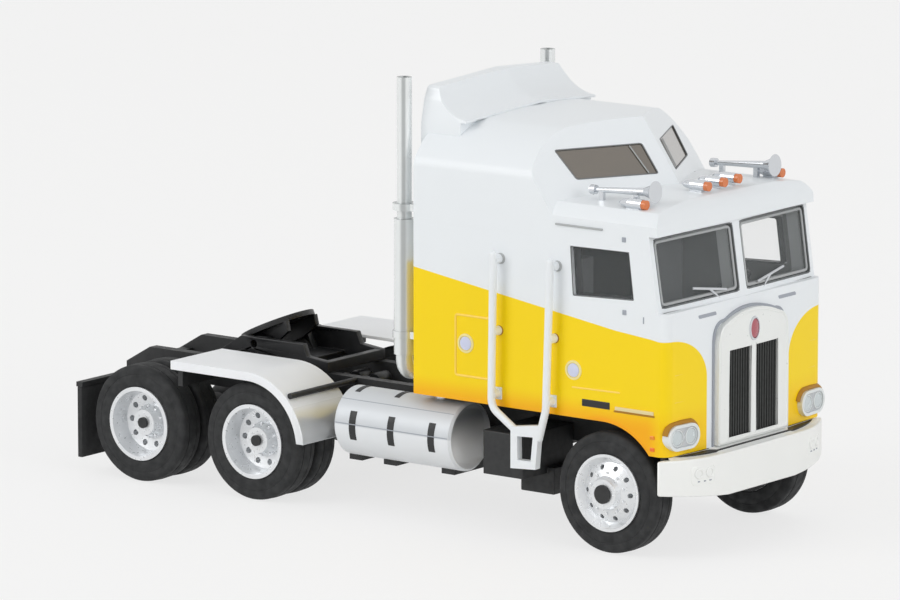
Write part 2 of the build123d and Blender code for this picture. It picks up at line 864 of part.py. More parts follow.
def marker_lenses():
    lenses = []
    for x, y, lift in marker_rows:
        z = roof_top_z(y) + lift
        lens = rod_x(y, z, marker_r - 0.04, x, x + 0.45)
        lenses.append(lens - cab_solid(0))
    return lenses


def air_horns():
    horns = []
    cup_r = 0.45
    post_half = 0.25
    for _, s in sides:
        y = s * horn_y
        bell = [(x, 0, r) for x, r in horn_rows]
        cup = [(horn_rear, 0, cup_r), (horn_rear - 0.6, 0, cup_r), (horn_rear - 0.6, 0, 0)]
        outline = [(horn_front, 0, 0)] + bell + cup
        horn = revolve(make_face(Polyline(*outline, close=True)), Axis.X)
        horn = Pos(horn_front, y, horn_z) * Rot(0, -horn_rise, 0) * Pos(-horn_front, 0, 0) * horn
        fall = math.tan(math.radians(horn_rise))
        for x in (horn_rear + 0.7, horn_front - 2.2):
            top = horn_z - fall * (horn_front - x)
            post = block(x - post_half, x + post_half, y - 0.2, y + 0.2, horn_z - 2.4, top)
            horn = horn + post
        horns.append(horn - cab_solid(0) - raised_roof_solid(0))
    return horns


# Grab rails with the hanging step
def grab_rail(side):
    y = side * rail_y
    low = cab_bottom
    rear_top = (rear_rail_top_x, y, rail_high)
    rear = tube([rear_top, (rear_rail_low_x, y, low + 0.1), (rear_rail_low_x + 2.85, y, low - 1.8)],
                [1.6], bar_r)
    front_top = (front_rail_top_x, y, rail_high)
    front = tube([front_top, (front_rail_low_x, y, low + 0.6),
                  (front_rail_low_x - 0.85, y, low - 2.5)], [2.5], bar_r)
    ring_x = (rear_rail_top_x + front_rail_top_x) / 2
    outer = ((ring_x - 1.015, low - 1.5), (ring_x + 2.385, low - 1.0),
             (ring_x + 1.985, low - 5.4), (ring_x - 1.015, low - 5.6))
    hole = ((ring_x - 0.225, low - 2.35), (ring_x + 1.675, low - 2.25),
            (ring_x + 1.425, low - 4.65), (ring_x - 0.175, low - 4.7))
    y0, y1 = sorted((side * (rail_y - bar_r), side * (rail_y + bar_r)))
    step = side_plate(outer, y0, y1) - side_plate(hole, y0 - 1, y1 + 1)
    shape = rear + front + step
    y0, y1 = sorted((side * cab_half, side * rail_y))
    for top_x, low_x in ((rear_rail_top_x, rear_rail_low_x), (front_rail_top_x, front_rail_low_x)):
        shape = shape + Pos(top_x, y, rail_high) * Sphere(bar_r)
        for z in (rail_high - 0.5, rail_high - 7.6, low + 1.3):
            share = (rail_high - z) / (rail_high - low)
            x = top_x + (low_x - top_x) * share
            shape = shape + rod_y(x, z, bar_foot_r, y0, y1)
    return shape


# Exhaust stack: pipe, muffler, elbow down to the frame
def exhaust_stack(side):
    y = side * stack_y
    pipe = rod_z(stack_x, y, stack_r, muffler_top - 1, stack_top)
    bore = rod_z(stack_x, y, stack_r - stack_wall, stack_top - 3, stack_top + 1)
    foot_y = side * (rail_half - rail_width / 2)
    bend = 1.4
    elbow = tube([(stack_x, y, muffler_bottom + 0.5), (stack_x, y, elbow_z),
                  (stack_x, foot_y, elbow_z), (stack_x, foot_y, rail_top)], [bend, bend], elbow_r)
    muffler = rod_z(stack_x, y, muffler_r, muffler_bottom, muffler_top)
    shape = pipe - bore + muffler + elbow
    clamp_half = 0.35
    for z in (muffler_bottom + 2.0, muffler_top + 1.2):
        z0 = z - clamp_half
        z1 = z + clamp_half
        shape = shape + block(stack_x, cab_rear, y - 0.5, y + 0.5, z0, z1)
        shape = shape + rod_z(stack_x, y, muffler_r + 0.12, z0, z1)
    return shape


# Fuel tanks and their brackets
def fuel_tank(side):
    y = side * tank_y
    edge = 0.25
    rim = tank_r - 0.6
    rows = ((tank_rear + tank_dish, 0), (tank_rear + tank_dish, rim), (tank_rear, tank_r - edge),
            (tank_rear + edge, tank_r), (tank_front - edge, tank_r), (tank_front, tank_r - edge),
            (tank_front - tank_dish, rim), (tank_front - tank_dish, 0))
    points = [(x, 0, r) for x, r in rows]
    tank = revolve(make_face(Polyline(*points, close=True)), Axis.X)
    tank = Pos(0, y, tank_z) * tank
    top = tank_z + tank_r
    filler = rod_z(tank_front - 3.5, y, 0.6, top - 0.6, top + 0.25)
    return tank + filler


def tank_brackets():
    pieces = []
    stations = (tank_rear + bracket_half, tank_rear + 5.1, tank_front - 2.2)
    z0 = tank_z - tank_r - bracket_depth
    for _, s in sides:
        y0, y1 = sorted((s * rail_half, s * (tank_y + 0.8)))
        for x in stations:
            arm = block(x - bracket_half, x + bracket_half, y0, y1, z0, tank_z)
            arm = arm - rod_x(s * tank_y, tank_z, tank_r, x - 2, x + 2)
            pieces.append(arm)
    return pieces


def battery_box(side):
    y0, y1 = sorted((side * rail_half, side * box_outer))
    body = block(box_rear, box_front, y0, y1, box_bottom, box_top)
    y2, y3 = sorted((side * (rail_half + 0.5), side * (rail_half + 4.3)))
    lower = block(box_rear + 1.6, box_front + 0.8, y2, y3, box_bottom - 2.1, box_bottom + 0.6)
    return body + lower


# Quarter fenders: a quarter round in front of each drive wheel and a flat top behind it
def fender_solid(radius, y0, y1):
    x0 = front_drive_x
    top = tyre_r + radius
    low = 2.0
    c = math.cos(math.radians(45))
    roof = Polyline((x0, y0, low), (fender_rear, y0, low), (fender_rear, y0, top), (x0, y0, top))
    quarter = ThreePointArc((x0, y0, top), (x0 + radius * c, y0, tyre_r + radius * c),
                            (x0 + radius, y0, tyre_r))
    foot = Polyline((x0 + radius, y0, tyre_r), (x0 + radius, y0, low), (x0, y0, low))
    return extrude(make_face(roof + quarter + foot), amount=y1 - y0, dir=(0, 1, 0))


def fender(side):
    y0, y1 = sorted((side * fender_inner, side * fender_half))
    skin = fender_solid(fender_r, y0, y1) - fender_solid(fender_r - fender_skin, y0 - 1, y1 + 1)
    lip_y0, lip_y1 = sorted((side * (fender_half - fender_lip_width), side * fender_half))
    lip = fender_solid(fender_r, lip_y0, lip_y1)
    lip = lip - fender_solid(fender_r - fender_lip, lip_y0 - 1, lip_y1 + 1)
    wide = fender_half + 5
    rear = fender_rear - 5
    top = tyre_r + fender_r + 5
    below = block(rear, 0, -wide, wide, 0, fender_foot_z)
    flat_end = block(rear, fender_rear + 0.001, -wide, wide, 0, top)
    return skin + lip - below - flat_end


# Fender supports: a round rod in front and a flat bracket under the rear end
def fender_supports():
    pieces = []
    forward = rod_station - front_drive_x
    reach = fender_r + rod_r + seat_gap
    rod_height = tyre_r + math.sqrt(reach ** 2 - forward ** 2)
    skin_under = tyre_r + fender_r - fender_skin
    for _, s in sides:
        y0, y1 = sorted((s * rail_half, s * (fender_half - 0.3)))
        pieces.append(rod_y(rod_station, rod_height, rod_r, y0, y1))
        y2, y3 = sorted((s * rail_half, s * (fender_half - fender_lip_width - 0.2)))
        x0 = post_station - post_half
        x1 = post_station + post_half
        pieces.append(block(x0, x1, y2, y3, rail_top - 1.0, skin_under))
    return pieces


# Mudflaps, hanger and tail lamps
def mudflaps():
    flaps = []
    for _, s in sides:
        y0, y1 = sorted((s * flap_inner, s * flap_outer))
        flaps.append(block(flap_x - flap_half, flap_x + flap_half, y0, y1, flap_bottom, flap_top))
    return flaps


def mudflap_hanger():
    bars = []
    half = flap_half + 0.1
    for _, s in sides:
        y0, y1 = sorted((s * rail_half, s * flap_outer))
        bars.append(block(flap_x - half, flap_x + half, y0, y1, flap_top, flap_top + hanger_height))
    return bars


def tail_lamps():
    lamps = []
    x1 = cross_half + 1.4 - rail_tail - 2 * cross_half
    z1 = tail_lamp_z + tail_lamp
    for _, s in sides:
        y0, y1 = sorted((s * tail_lamp_y, s * (tail_lamp_y + tail_lamp)))
        lamps.append(block(x1 - 0.5, x1, y0, y1, tail_lamp_z, z1))
    return lamps


# Fifth wheel: base with two ears and two arms, and the plate that tips on its pin
def fifth_wheel_base():
    base = block(base_rear, base_front, -rail_half, rail_half, rail_top, rail_top + base_thickness)
    foot_half = 2.0
    head_half = 0.75
    z0 = rail_top + base_thickness - 0.1
    z1 = pivot_z + 0.6
    for _, s in sides:
        y0, y1 = sorted((s * (ear_y - ear_half), s * (ear_y + ear_half)))
        outline = ((pivot_x - foot_half, z0), (pivot_x + foot_half, z0),
                   (pivot_x + head_half, z1), (pivot_x - head_half, z1))
        base = base + side_plate(outline, y0, y1)
        arm = ((base_rear, rail_top), (base_rear, arm_low - 0.4), (pivot_x - 1.6, arm_high),
               (arm_step_x, arm_high), (arm_step_x + 0.5, arm_low), (arm_front, arm_low - 0.3),
               (arm_front, rail_top))
        y0, y1 = sorted((s * (plate_r + ear_clearance), s * rail_half))
        base = base + side_plate(arm, y0, y1)
    bar = block(arm_front - 0.8, arm_front, -rail_half, rail_half, rail_top, arm_low - 0.3)
    base = base + bar
    return base - rod_y(pivot_x, pivot_z, pivot_r + running_clearance, -rail_half, rail_half)


def fifth_wheel_plate():
    under = plate_top - plate_thickness
    plate = Pos(0, 0, plate_top - plate_thickness / 2) * Cylinder(plate_r, plate_thickness)
    throat = kingpin_r * 0.45
    mouth = 1.6
    slot = ((0, -throat), (0, throat), (-plate_r - 1, mouth), (-plate_r - 1, -mouth))
    face = make_face(Polyline(*[(x, y, 0) for x, y in slot], close=True))
    plate = plate - extrude(face, amount=2 * plate_top) - Cylinder(kingpin_r, 4 * plate_top)
    lug_inner = ear_y - 1.1
    for _, s in sides:
        y0, y1 = sorted((s * lug_inner, s * (ear_y - ear_half - ear_clearance)))
        web = ((-3.0, under), (-0.9, -0.6), (0.9, -0.6), (3.0, 0.0), (3.2, under))
        lug = side_plate(web, y0, y1)
        y2, y3 = sorted((s * lug_inner, s * (ear_y + ear_half)))
        pin = rod_y(0, 0, pivot_r, y2, y3)
        plate = plate + lug + pin
    return Pos(pivot_x, 0, pivot_z) * Rot(0, -plate_tilt, 0) * plate


def build_all():
    build_wheels()
    save("chassis_frame", chassis_frame())
    save("front_axle_carrier", front_axle_carrier())
    save("rear_axle_carrier", rear_axle_carrier())
    save("cab_shell", cab_shell())
    save("raised_roof", raised_roof())
    save("roof_fairing", roof_fairing())
    save("cab_floor", cab_floor())
    save("interior", interior())
    save("steering_wheel", steering_wheel())
    screens = [screen_pane(s, -seat_gap, 0.0, pane_thickness) for _, s in sides]
    save("windshield", screens)
    doors = []
    for _, s in sides:
        y0, y1 = sorted((s * (cab_half - 0.15 - pane_thickness), s * (cab_half - 0.15)))
        doors.append(side_plate(door_window, y0, y1))
    save("door_windows", doors)
    roof_panes = [roof_pane(s, -0.1, pane_thickness) for _, s in sides]
    save("roof_windows", roof_panes)
    save("grille_surround", grille_surround())
    save("grille_panels", grille_panels())
    save("headlamp_bezels", headlamp_bezels())
    save("headlamp_lenses", headlamp_lenses())
    save("bumper", bumper())
    save("wipers", wipers())
    save("marker_lamps", marker_lamps())
    save("marker_lenses", marker_lenses())
    save("air_horns", air_horns())
    for name, s in sides:
        save(f"grab_rail_{name}", grab_rail(s))
        save(f"exhaust_stack_{name}", exhaust_stack(s))
        save(f"fuel_tank_{name}", fuel_tank(s))
        save(f"battery_box_{name}", battery_box(s))
        save(f"fender_{name}", fender(s))
    save("tank_brackets", tank_brackets())
    save("fender_supports", fender_supports())
    save("mudflaps", mudflaps())
    save("mudflap_hanger", mudflap_hanger())
    save("tail_lamps", tail_lamps())
    save("fifth_wheel_base", fifth_wheel_base())
    save("fifth_wheel_plate", fifth_wheel_plate())


build_all()
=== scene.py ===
import math

import bmesh
import bpy
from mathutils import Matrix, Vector


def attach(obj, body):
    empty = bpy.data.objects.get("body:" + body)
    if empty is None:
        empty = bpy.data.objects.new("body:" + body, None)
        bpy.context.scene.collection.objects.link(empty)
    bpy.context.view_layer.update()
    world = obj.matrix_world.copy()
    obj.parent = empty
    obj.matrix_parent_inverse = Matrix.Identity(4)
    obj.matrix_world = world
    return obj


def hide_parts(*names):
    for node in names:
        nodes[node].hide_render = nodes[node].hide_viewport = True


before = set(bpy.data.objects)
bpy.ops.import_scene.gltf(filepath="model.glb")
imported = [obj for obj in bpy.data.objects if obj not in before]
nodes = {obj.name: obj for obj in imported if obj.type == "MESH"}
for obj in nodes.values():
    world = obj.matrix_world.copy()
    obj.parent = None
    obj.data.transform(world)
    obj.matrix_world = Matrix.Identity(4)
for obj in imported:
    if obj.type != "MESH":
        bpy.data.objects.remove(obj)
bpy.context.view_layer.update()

# Lengths are in millimetres and stations count forward from the front axle, as the solids are
# drawn. The row frame has its origin under the middle of the model.
MM = 0.001
AXLE_X = 29.0
TYRE_R = 6.0
TYRE_WIDTH = 2.75
DRIVE_X = (-42.6, -57.3)
CAB_HALF = 13.15
SIDES = (1, -1)


def row(x, y, z):
    return Vector((x + AXLE_X, y, z)) * MM


def lin(r, g, b):
    """An sRGB colour, 0 to 255, as linear values."""
    out = []
    for v in (r, g, b):
        v = v / 255
        out.append(v / 12.92 if v <= 0.04045 else ((v + 0.055) / 1.055) ** 2.4)
    return out


# Camera
CAMERA_AZIMUTH = math.radians(37.398)
CAMERA_ELEVATION = math.radians(10.505)
CAMERA_PLACE = (0.419557, -0.548736, 0.147816)
CAMERA_LENS = 281.54
camera_back = Vector((
    math.sin(CAMERA_AZIMUTH) * math.cos(CAMERA_ELEVATION),
    -math.cos(CAMERA_AZIMUTH) * math.cos(CAMERA_ELEVATION),
    math.sin(CAMERA_ELEVATION),
))
camera_data = bpy.data.cameras.new("camera")
camera = bpy.data.objects.new("camera", camera_data)
bpy.context.scene.collection.objects.link(camera)
camera_data.sensor_width = 36.0
camera_data.lens = CAMERA_LENS
camera_data.clip_start = 0.01
camera_data.clip_end = 50.0
camera.location = CAMERA_PLACE
camera.rotation_mode = "QUATERNION"
camera.rotation_quaternion = (-camera_back).to_track_quat("-Z", "Y")
bpy.context.scene.camera = camera
bpy.context.scene.view_settings.view_transform = "Standard"


# Node helpers
class Graph:
    """Short calls for building a node tree."""

    def __init__(self, tree):
        self.tree = tree

    def node(self, kind, **values):
        n = self.tree.nodes.new(kind)
        for key, value in values.items():
            setattr(n, key, value)
        return n

    def put(self, socket, value):
        """Link an output to a socket, or give the socket a value."""
        if isinstance(value, bpy.types.NodeSocket):
            self.tree.links.new(value, socket)
        else:
            socket.default_value = value

    def fill(self, n, *values):
        """Links or values for a node's first inputs, in order."""
        for socket, value in zip(n.inputs, values):
            self.put(socket, value)
        return n

    def set(self, n, **values):
        """Links or values for a node's inputs by name, with underscores for the spaces."""
        for key, value in values.items():
            self.put(n.inputs[key.replace("_", " ")], value)

    def math(self, op, a, b=0.0, c=0.0):
        return self.fill(self.node("ShaderNodeMath", operation=op), a, b, c).outputs[0]

    def vector_math(self, op, a, b):
        return self.fill(self.node("ShaderNodeVectorMath", operation=op), a, b)

    def mix(self, share, a, b):
        """A colour: a where share is 0, b where it is 1."""
        n = self.node("ShaderNodeMix", data_type="RGBA")
        self.put(n.inputs[0], share)
        for socket, value in ((n.inputs[6], a), (n.inputs[7], b)):
            if not isinstance(value, bpy.types.NodeSocket):
                value = (*value, 1.0)
            self.put(socket, value)
        return n.outputs[2]

    def blend(self, share, a, b):
        """A shader: a where share is 0, b where it is 1."""
        return self.fill(self.node("ShaderNodeMixShader"), share, a, b).outputs[0]

    def map_range(self, value, source, target, kind="LINEAR"):
        n = self.node("ShaderNodeMapRange", interpolation_type=kind)
        return self.fill(n, value, *source, *target).outputs[0]

    def step(self, value, low, high):
        """0 below low, 1 above high, smooth between."""
        return self.map_range(value, (low, high), (0.0, 1.0), "SMOOTHSTEP")

    def wander(self, share, base, spread):
        """A value from base, where share is 0, to base + spread."""
        return self.math("MULTIPLY_ADD", share, spread, base)

    def noise(self, place, scale, detail=2.0):
        n = self.node("ShaderNodeTexNoise")
        self.set(n, Vector=place, Scale=scale, Detail=detail)
        return n.outputs["Fac"]

    def split(self, vector):
        return self.fill(self.node("ShaderNodeSeparateXYZ"), vector).outputs

    def stations(self, place):
        """A place in the row frame as x, y and z in millimetres from the front axle."""
        x, y, z = [self.math("MULTIPLY", v, 1 / MM) for v in self.split(place)]
        return self.math("SUBTRACT", x, AXLE_X), y, z

    def seen_share(self):
        """1 for rays from the camera, straight, mirrored or through glass, and 0 for others."""
        rays = self.node("ShaderNodeLightPath").outputs
        share = self.math("MAXIMUM", rays["Is Camera Ray"], rays["Is Glossy Ray"])
        return self.math("MAXIMUM", share, rays["Is Transmission Ray"])


def new_material(name):
    m = bpy.data.materials.new(name)
    m.use_nodes = True
    g = Graph(m.node_tree)
    shader = m.node_tree.nodes["Principled BSDF"]
    place = g.node("ShaderNodeTexCoord").outputs["Object"]
    return m, g, shader, place


def shade(base, factor):
    return [min(1.0, c * factor) for c in base]


# Moulded and plated materials; the relief's depth is in metres
RELIEF_DEPTH = 0.00004
GLOSS_SPREAD = 0.2
GRAIN_RANGE = (0.3, 0.7)
GRAIN_TO_CLOUD = 9


def plastic(name, colour, rough, vary, grain, bump, **extra):
    """Moulded or plated material: mottled colour, uneven gloss and a fine surface grain."""
    m, g, shader, place = new_material(name)
    cloud = g.noise(place, grain / GRAIN_TO_CLOUD)
    fine = g.noise(place, grain, 4.0)
    gloss = (rough * (1 - GLOSS_SPREAD), min(1.0, rough * (1 + GLOSS_SPREAD)))
    relief = g.node("ShaderNodeBump")
    g.set(relief, Strength=bump, Distance=RELIEF_DEPTH, Height=fine)
    g.set(shader, Base_Color=g.mix(cloud, shade(colour, 1 - vary), shade(colour, 1 + vary)),
          Roughness=g.map_range(fine, GRAIN_RANGE, gloss), Normal=relief.outputs[0], **extra)
    return m


WHITE = lin(236, 240, 243)
YELLOW = lin(252, 217, 0)
# Painted shade: the orange that darkens the yellow near the lower edge and the arch
SHADE_ORANGE = lin(250, 158, 0)
INSIDE = lin(130, 132, 131)
# The paint line falls along the side, and ends in a quarter ellipse beside the grille
LINE_AT_AXLE = 22.22
LINE_SLOPE = -0.147
LINE_BOW = 0.05
BOW_START = 1.0
FRONT_EDGE_Y = 6.88
FRONT_EDGE_REACH = 5.62
FRONT_EDGE_Z = 17.3
FRONT_EDGE_RISE = 4.2
CORNER_X = (5.2, 6.8)
FRONT_FACE_X = 5.5
EDGE_BLUR = 0.03
# The orange is painted shade: it fades up from the lower edge and out from the arch, and is fainter in
# front
LOW_FADE_Z = (12.6, 15.4)
LOW_SHADE = 0.75
ARCH_X = -0.5
ARCH_Z = 5.95
ARCH_FADE_R = (7.0, 8.6)
ARCH_SHADE = 0.9
FRONT_FADE_X = (4.6, 6.6)
FRONT_LOSS = 0.7


def paint_line(g, x, y):
    """The height of the paint line on the side and round the front."""
    line = g.math("MULTIPLY_ADD", x, LINE_SLOPE, LINE_AT_AXLE)
    ahead = g.math("MAXIMUM", g.math("ADD", x, -BOW_START), 0.0)
    line = g.math("ADD", line, g.math("MULTIPLY", ahead, LINE_BOW))
    inward = g.math("SUBTRACT", FRONT_EDGE_Y + FRONT_EDGE_REACH, y)
    inward = g.math("DIVIDE", inward, FRONT_EDGE_REACH)
    inward = g.math("MINIMUM", g.math("MAXIMUM", inward, 0.0), 1.0)
    curve = g.math("SQRT", g.math("SUBTRACT", 1.0, g.math("MULTIPLY", inward, inward)))
    front_line = g.math("MULTIPLY_ADD", curve, FRONT_EDGE_RISE, FRONT_EDGE_Z)
    to_front = g.step(x, *CORNER_X)
    return g.math("ADD", line, g.math("MULTIPLY", g.math("SUBTRACT", front_line, line), to_front))


# How strongly painted shade, in orange, darkens the yellow at each place
def edge_shade(g, x, z):
    low = g.math("SUBTRACT", 1.0, g.step(z, *LOW_FADE_Z))
    dx = g.math("SUBTRACT", x, ARCH_X)
    dz = g.math("SUBTRACT", z, ARCH_Z)
    reach = g.math("ADD", g.math("MULTIPLY", dx, dx), g.math("MULTIPLY", dz, dz))
    lip = g.math("SUBTRACT", 1.0, g.step(g.math("SQRT", reach), *ARCH_FADE_R))
    shade_share = g.math("MAXIMUM", g.math("MULTIPLY", low, LOW_SHADE), g.math("MULTIPLY", lip, ARCH_SHADE))
    loss = g.math("MULTIPLY", g.step(x, *FRONT_FADE_X), FRONT_LOSS)
    return g.math("MULTIPLY", shade_share, g.math("SUBTRACT", 1.0, loss))


def paint_colours(g, place, cloud, colour):
    """White above the paint line, yellow below it, and painted shade in orange near the lower edge and
    the arch.
    """
    x, y, z = g.stations(place)
    y = g.math("ABSOLUTE", y)
    below = g.step(g.math("SUBTRACT", paint_line(g, x, y), z), -EDGE_BLUR, EDGE_BLUR)
    outside = g.step(y, FRONT_EDGE_Y - EDGE_BLUR, FRONT_EDGE_Y + EDGE_BLUR)
    on_side = g.math("LESS_THAN", x, FRONT_FACE_X)
    mask = g.math("MULTIPLY", below, g.math("MAXIMUM", outside, on_side))
    yellow = g.mix(cloud, shade(YELLOW, 0.985), shade(YELLOW, 1.015))
    return g.mix(mask, colour, g.mix(edge_shade(g, x, z), yellow, SHADE_ORANGE))


def body_paint(name, centre, two_tone):
    """Gloss paint, grey on the faces turned to the centre; two_tone adds the lower yellow."""
    m, g, shader, place = new_material(name)
    cloud = g.noise(place, 90.0)
    colour = g.mix(cloud, shade(WHITE, 0.99), shade(WHITE, 1.01))
    if two_tone:
        colour = paint_colours(g, place, cloud, colour)
    away = g.vector_math("SUBTRACT", place, row(*centre)).outputs[0]
    normal = g.node("ShaderNodeNewGeometry").outputs["True Normal"]
    facing = g.vector_math("DOT_PRODUCT", away, normal).outputs["Value"]
    inner = g.math("LESS_THAN", facing, 0.0)
    rough = g.wander(inner, g.wander(cloud, base=0.30, spread=0.06), spread=0.4)
    g.set(shader, Base_Color=g.mix(inner, colour, INSIDE), Roughness=rough,
          Specular_IOR_Level=0.28, Coat_Weight=0.08, Coat_Roughness=0.15)
    return m


def glass(name, tint, see_through, rough=0.03, **extra):
    """Clear moulded pane: partly a tinted gloss surface and partly see-through."""
    m, g, shader, place = new_material(name)
    speck = g.noise(place, 500.0)
    g.set(shader, Base_Color=g.mix(speck, shade(tint, 0.9), shade(tint, 1.1)),
          Roughness=g.wander(speck, base=rough, spread=0.04), Alpha=1.0 - see_through,
          Specular_IOR_Level=0.5, **extra)
    return m


FENDER_DROP_X = (-37.5, -34.6)


def fender_look():
    """Plated fender: painted pale on top as the reflection of the light above, and mirror bright on
    the drop in front of the wheel.
    """
    m, g, shader, place = new_material("fender_chrome")
    drop = g.step(g.stations(place)[0], *FENDER_DROP_X)
    cloud = g.noise(place, 260.0)
    # Painted reflection: the top is a pale diffuse white in place of the plating's reflection of the
    # light above
    pale = g.mix(cloud, lin(240, 242, 245), lin(246, 248, 250))
    g.set(shader, Base_Color=g.mix(drop, pale, lin(222, 224, 226)),
          Metallic=g.math("MULTIPLY", drop, 0.9),
          Roughness=g.wander(drop, base=0.3, spread=-0.16), Specular_IOR_Level=0.05)
    return m


SEAM_Z = (8.95, 9.15)
CAP_SHADE_Z = (7.4, 11.2)
CAP_FACING = (0.7, 0.9)


def tank_look():
    """Satin tank with painted reflection: a darker half above the seam, and end caps that darken
    upward.
    """
    m, g, shader, place = new_material("tank_silver")
    z = g.stations(place)[2]
    cloud = g.noise(place, 300.0)
    # Painted reflection: the half above the seam is darker than the half below
    upper = g.mix(cloud, lin(204, 208, 212), lin(210, 214, 218))
    lower = g.mix(cloud, lin(228, 231, 234), lin(234, 237, 240))
    side = g.mix(g.step(z, *SEAM_Z), lower, upper)
    # Painted reflection: end caps near white low down and dark toward the top
    cap_reflection = g.mix(g.step(z, *CAP_SHADE_Z), lin(253, 254, 254), lin(112, 115, 118))
    ahead = g.split(g.node("ShaderNodeNewGeometry").outputs["Normal"])[0]
    at_end = g.step(g.math("ABSOLUTE", ahead), *CAP_FACING)
    g.set(shader, Base_Color=g.mix(at_end, side, cap_reflection),
          Roughness=g.wander(cloud, base=0.38, spread=0.08), Metallic=0.12)
    return m


STREAK_SIDE = (0.794, 0.607, 0.0)
STREAK_SHIFT = 0.1
STREAK_FADE = (0.1, 0.42)
STREAK_DEPTH = 0.6


def stack_look():
    """Plated tube with a painted reflection: the grey streak of a dark room along it."""
    m, g, shader, place = new_material("stack_chrome")
    normal = g.node("ShaderNodeNewGeometry").outputs["Normal"]
    turn = g.vector_math("DOT_PRODUCT", normal, STREAK_SIDE).outputs["Value"]
    offset = g.math("ABSOLUTE", g.math("ADD", turn, STREAK_SHIFT))
    streak = g.math("SUBTRACT", 1.0, g.step(offset, *STREAK_FADE))
    cloud = g.noise(place, 400.0)
    light = g.mix(cloud, lin(230, 233, 233), lin(237, 240, 240))
    # Painted reflection: the grey streak darkens the colour along one side of the tube
    grey = g.math("MULTIPLY", streak, STREAK_DEPTH)
    g.set(shader, Base_Color=g.mix(grey, light, lin(136, 140, 140)),
          Roughness=g.wander(cloud, base=0.22, spread=0.08), Metallic=0.5)
    return m


paint_cab = body_paint("paint_cab", centre=(-8.0, 0, 22.0), two_tone=True)
paint_roof = body_paint("paint_roof", centre=(-13.0, 0, 33.5), two_tone=False)
fender_chrome = fender_look()
tank_silver = tank_look()
stack_chrome = stack_look()
# A plastic's values are colour, roughness, mottling, fineness of grain and strength of relief
paint_white = plastic("paint_white", WHITE, 0.36, 0.01, 400.0, 0.0, Coat_Weight=0.05)
pad_white = plastic("pad_white", lin(222, 230, 236), 0.35, 0.03, 900.0, 0.04)
# Beads and creases in a lighter yellow: a painted highlight where they catch the light
bead_highlight = plastic("bead_highlight", lin(254, 216, 84), 0.4, 0.02, 1500.0, 0.02)
trim_beige = plastic("trim_beige", lin(232, 214, 158), 0.4, 0.03, 900.0, 0.04)
disc_rim = plastic("disc_rim", lin(242, 228, 158), 0.4, 0.03, 900.0, 0.04)
badge_blue = plastic("badge_blue", lin(208, 213, 238), 0.4, 0.04, 900.0, 0.04)
enamel = plastic("enamel", lin(176, 92, 102), 0.3, 0.06, 900.0, 0.05, Coat_Weight=0.3)
paint_shadow = plastic("paint_shadow", lin(172, 120, 6), 0.5, 0.04, 1500.0, 0.03)
seam_grey = plastic("seam_grey", lin(160, 165, 174), 0.5, 0.04, 1500.0, 0.03)
frame_grey = plastic("frame_grey", lin(172, 175, 176), 0.45, 0.05, 1800.0, 0.05)
gasket = plastic("gasket", lin(112, 115, 117), 0.5, 0.08, 1800.0, 0.06)
interior_grey = plastic("interior_grey", lin(104, 106, 108), 0.6, 0.08, 1800.0, 0.1)
black = plastic("black", lin(33, 34, 35), 0.55, 0.15, 1600.0, 0.15)
black_gloss = plastic("black_gloss", lin(26, 27, 29), 0.4, 0.12, 1600.0, 0.08)
grille_black = plastic("grille_black", lin(44, 46, 45), 0.6, 0.08, 2600.0, 0.3)
rubber = plastic("rubber", lin(38, 39, 40), 0.8, 0.08, 1100.0, 0.1)
chrome = plastic("chrome", lin(214, 217, 221), 0.2, 0.02, 900.0, 0.04, Metallic=0.9)
chrome_grain = plastic("chrome_grain", lin(228, 230, 232), 0.32, 0.1, 2600.0, 0.55, Metallic=0.65)
silver = plastic("silver", lin(207, 210, 214), 0.42, 0.02, 2400.0, 0.05, Metallic=0.2)
lamp_silver = plastic("lamp_silver", lin(226, 230, 230), 0.35, 0.03, 900.0, 0.04, Metallic=0.3)
grille_silver = plastic("grille_silver", lin(237, 239, 237), 0.34, 0.02, 2400.0, 0.04, Metallic=0.12)
bumper_silver = plastic("bumper_silver", lin(243, 244, 242), 0.42, 0.02, 2400.0, 0.06, Metallic=0.1)
lamp_glow = plastic("lamp_glow", lin(204, 212, 214), 0.25, 0.08, 900.0, 0.05, Metallic=0.15)
orange = plastic("orange", lin(216, 120, 64), 0.25, 0.08, 900.0, 0.05, Coat_Weight=0.2)
side_amber = plastic("side_amber", lin(238, 140, 10), 0.3, 0.06, 900.0, 0.05, Coat_Weight=0.3)
side_red = plastic("side_red", lin(240, 112, 16), 0.3, 0.06, 900.0, 0.05, Coat_Weight=0.3)
red = plastic("red", lin(196, 40, 34), 0.25, 0.08, 900.0, 0.05, Coat_Weight=0.3)
# A glass's values are its tint and how much of it is see-through
window_glass = glass("window_glass", lin(226, 232, 234), 0.93)
door_glass = glass("door_glass", lin(226, 232, 234), 0.95)
roof_glass = glass("roof_glass", lin(80, 68, 50), 0.0, rough=0.2, Coat_Weight=1.0, Coat_IOR=2.0)
lamp_glass = glass("lamp_glass", lin(228, 232, 236), 0.35)

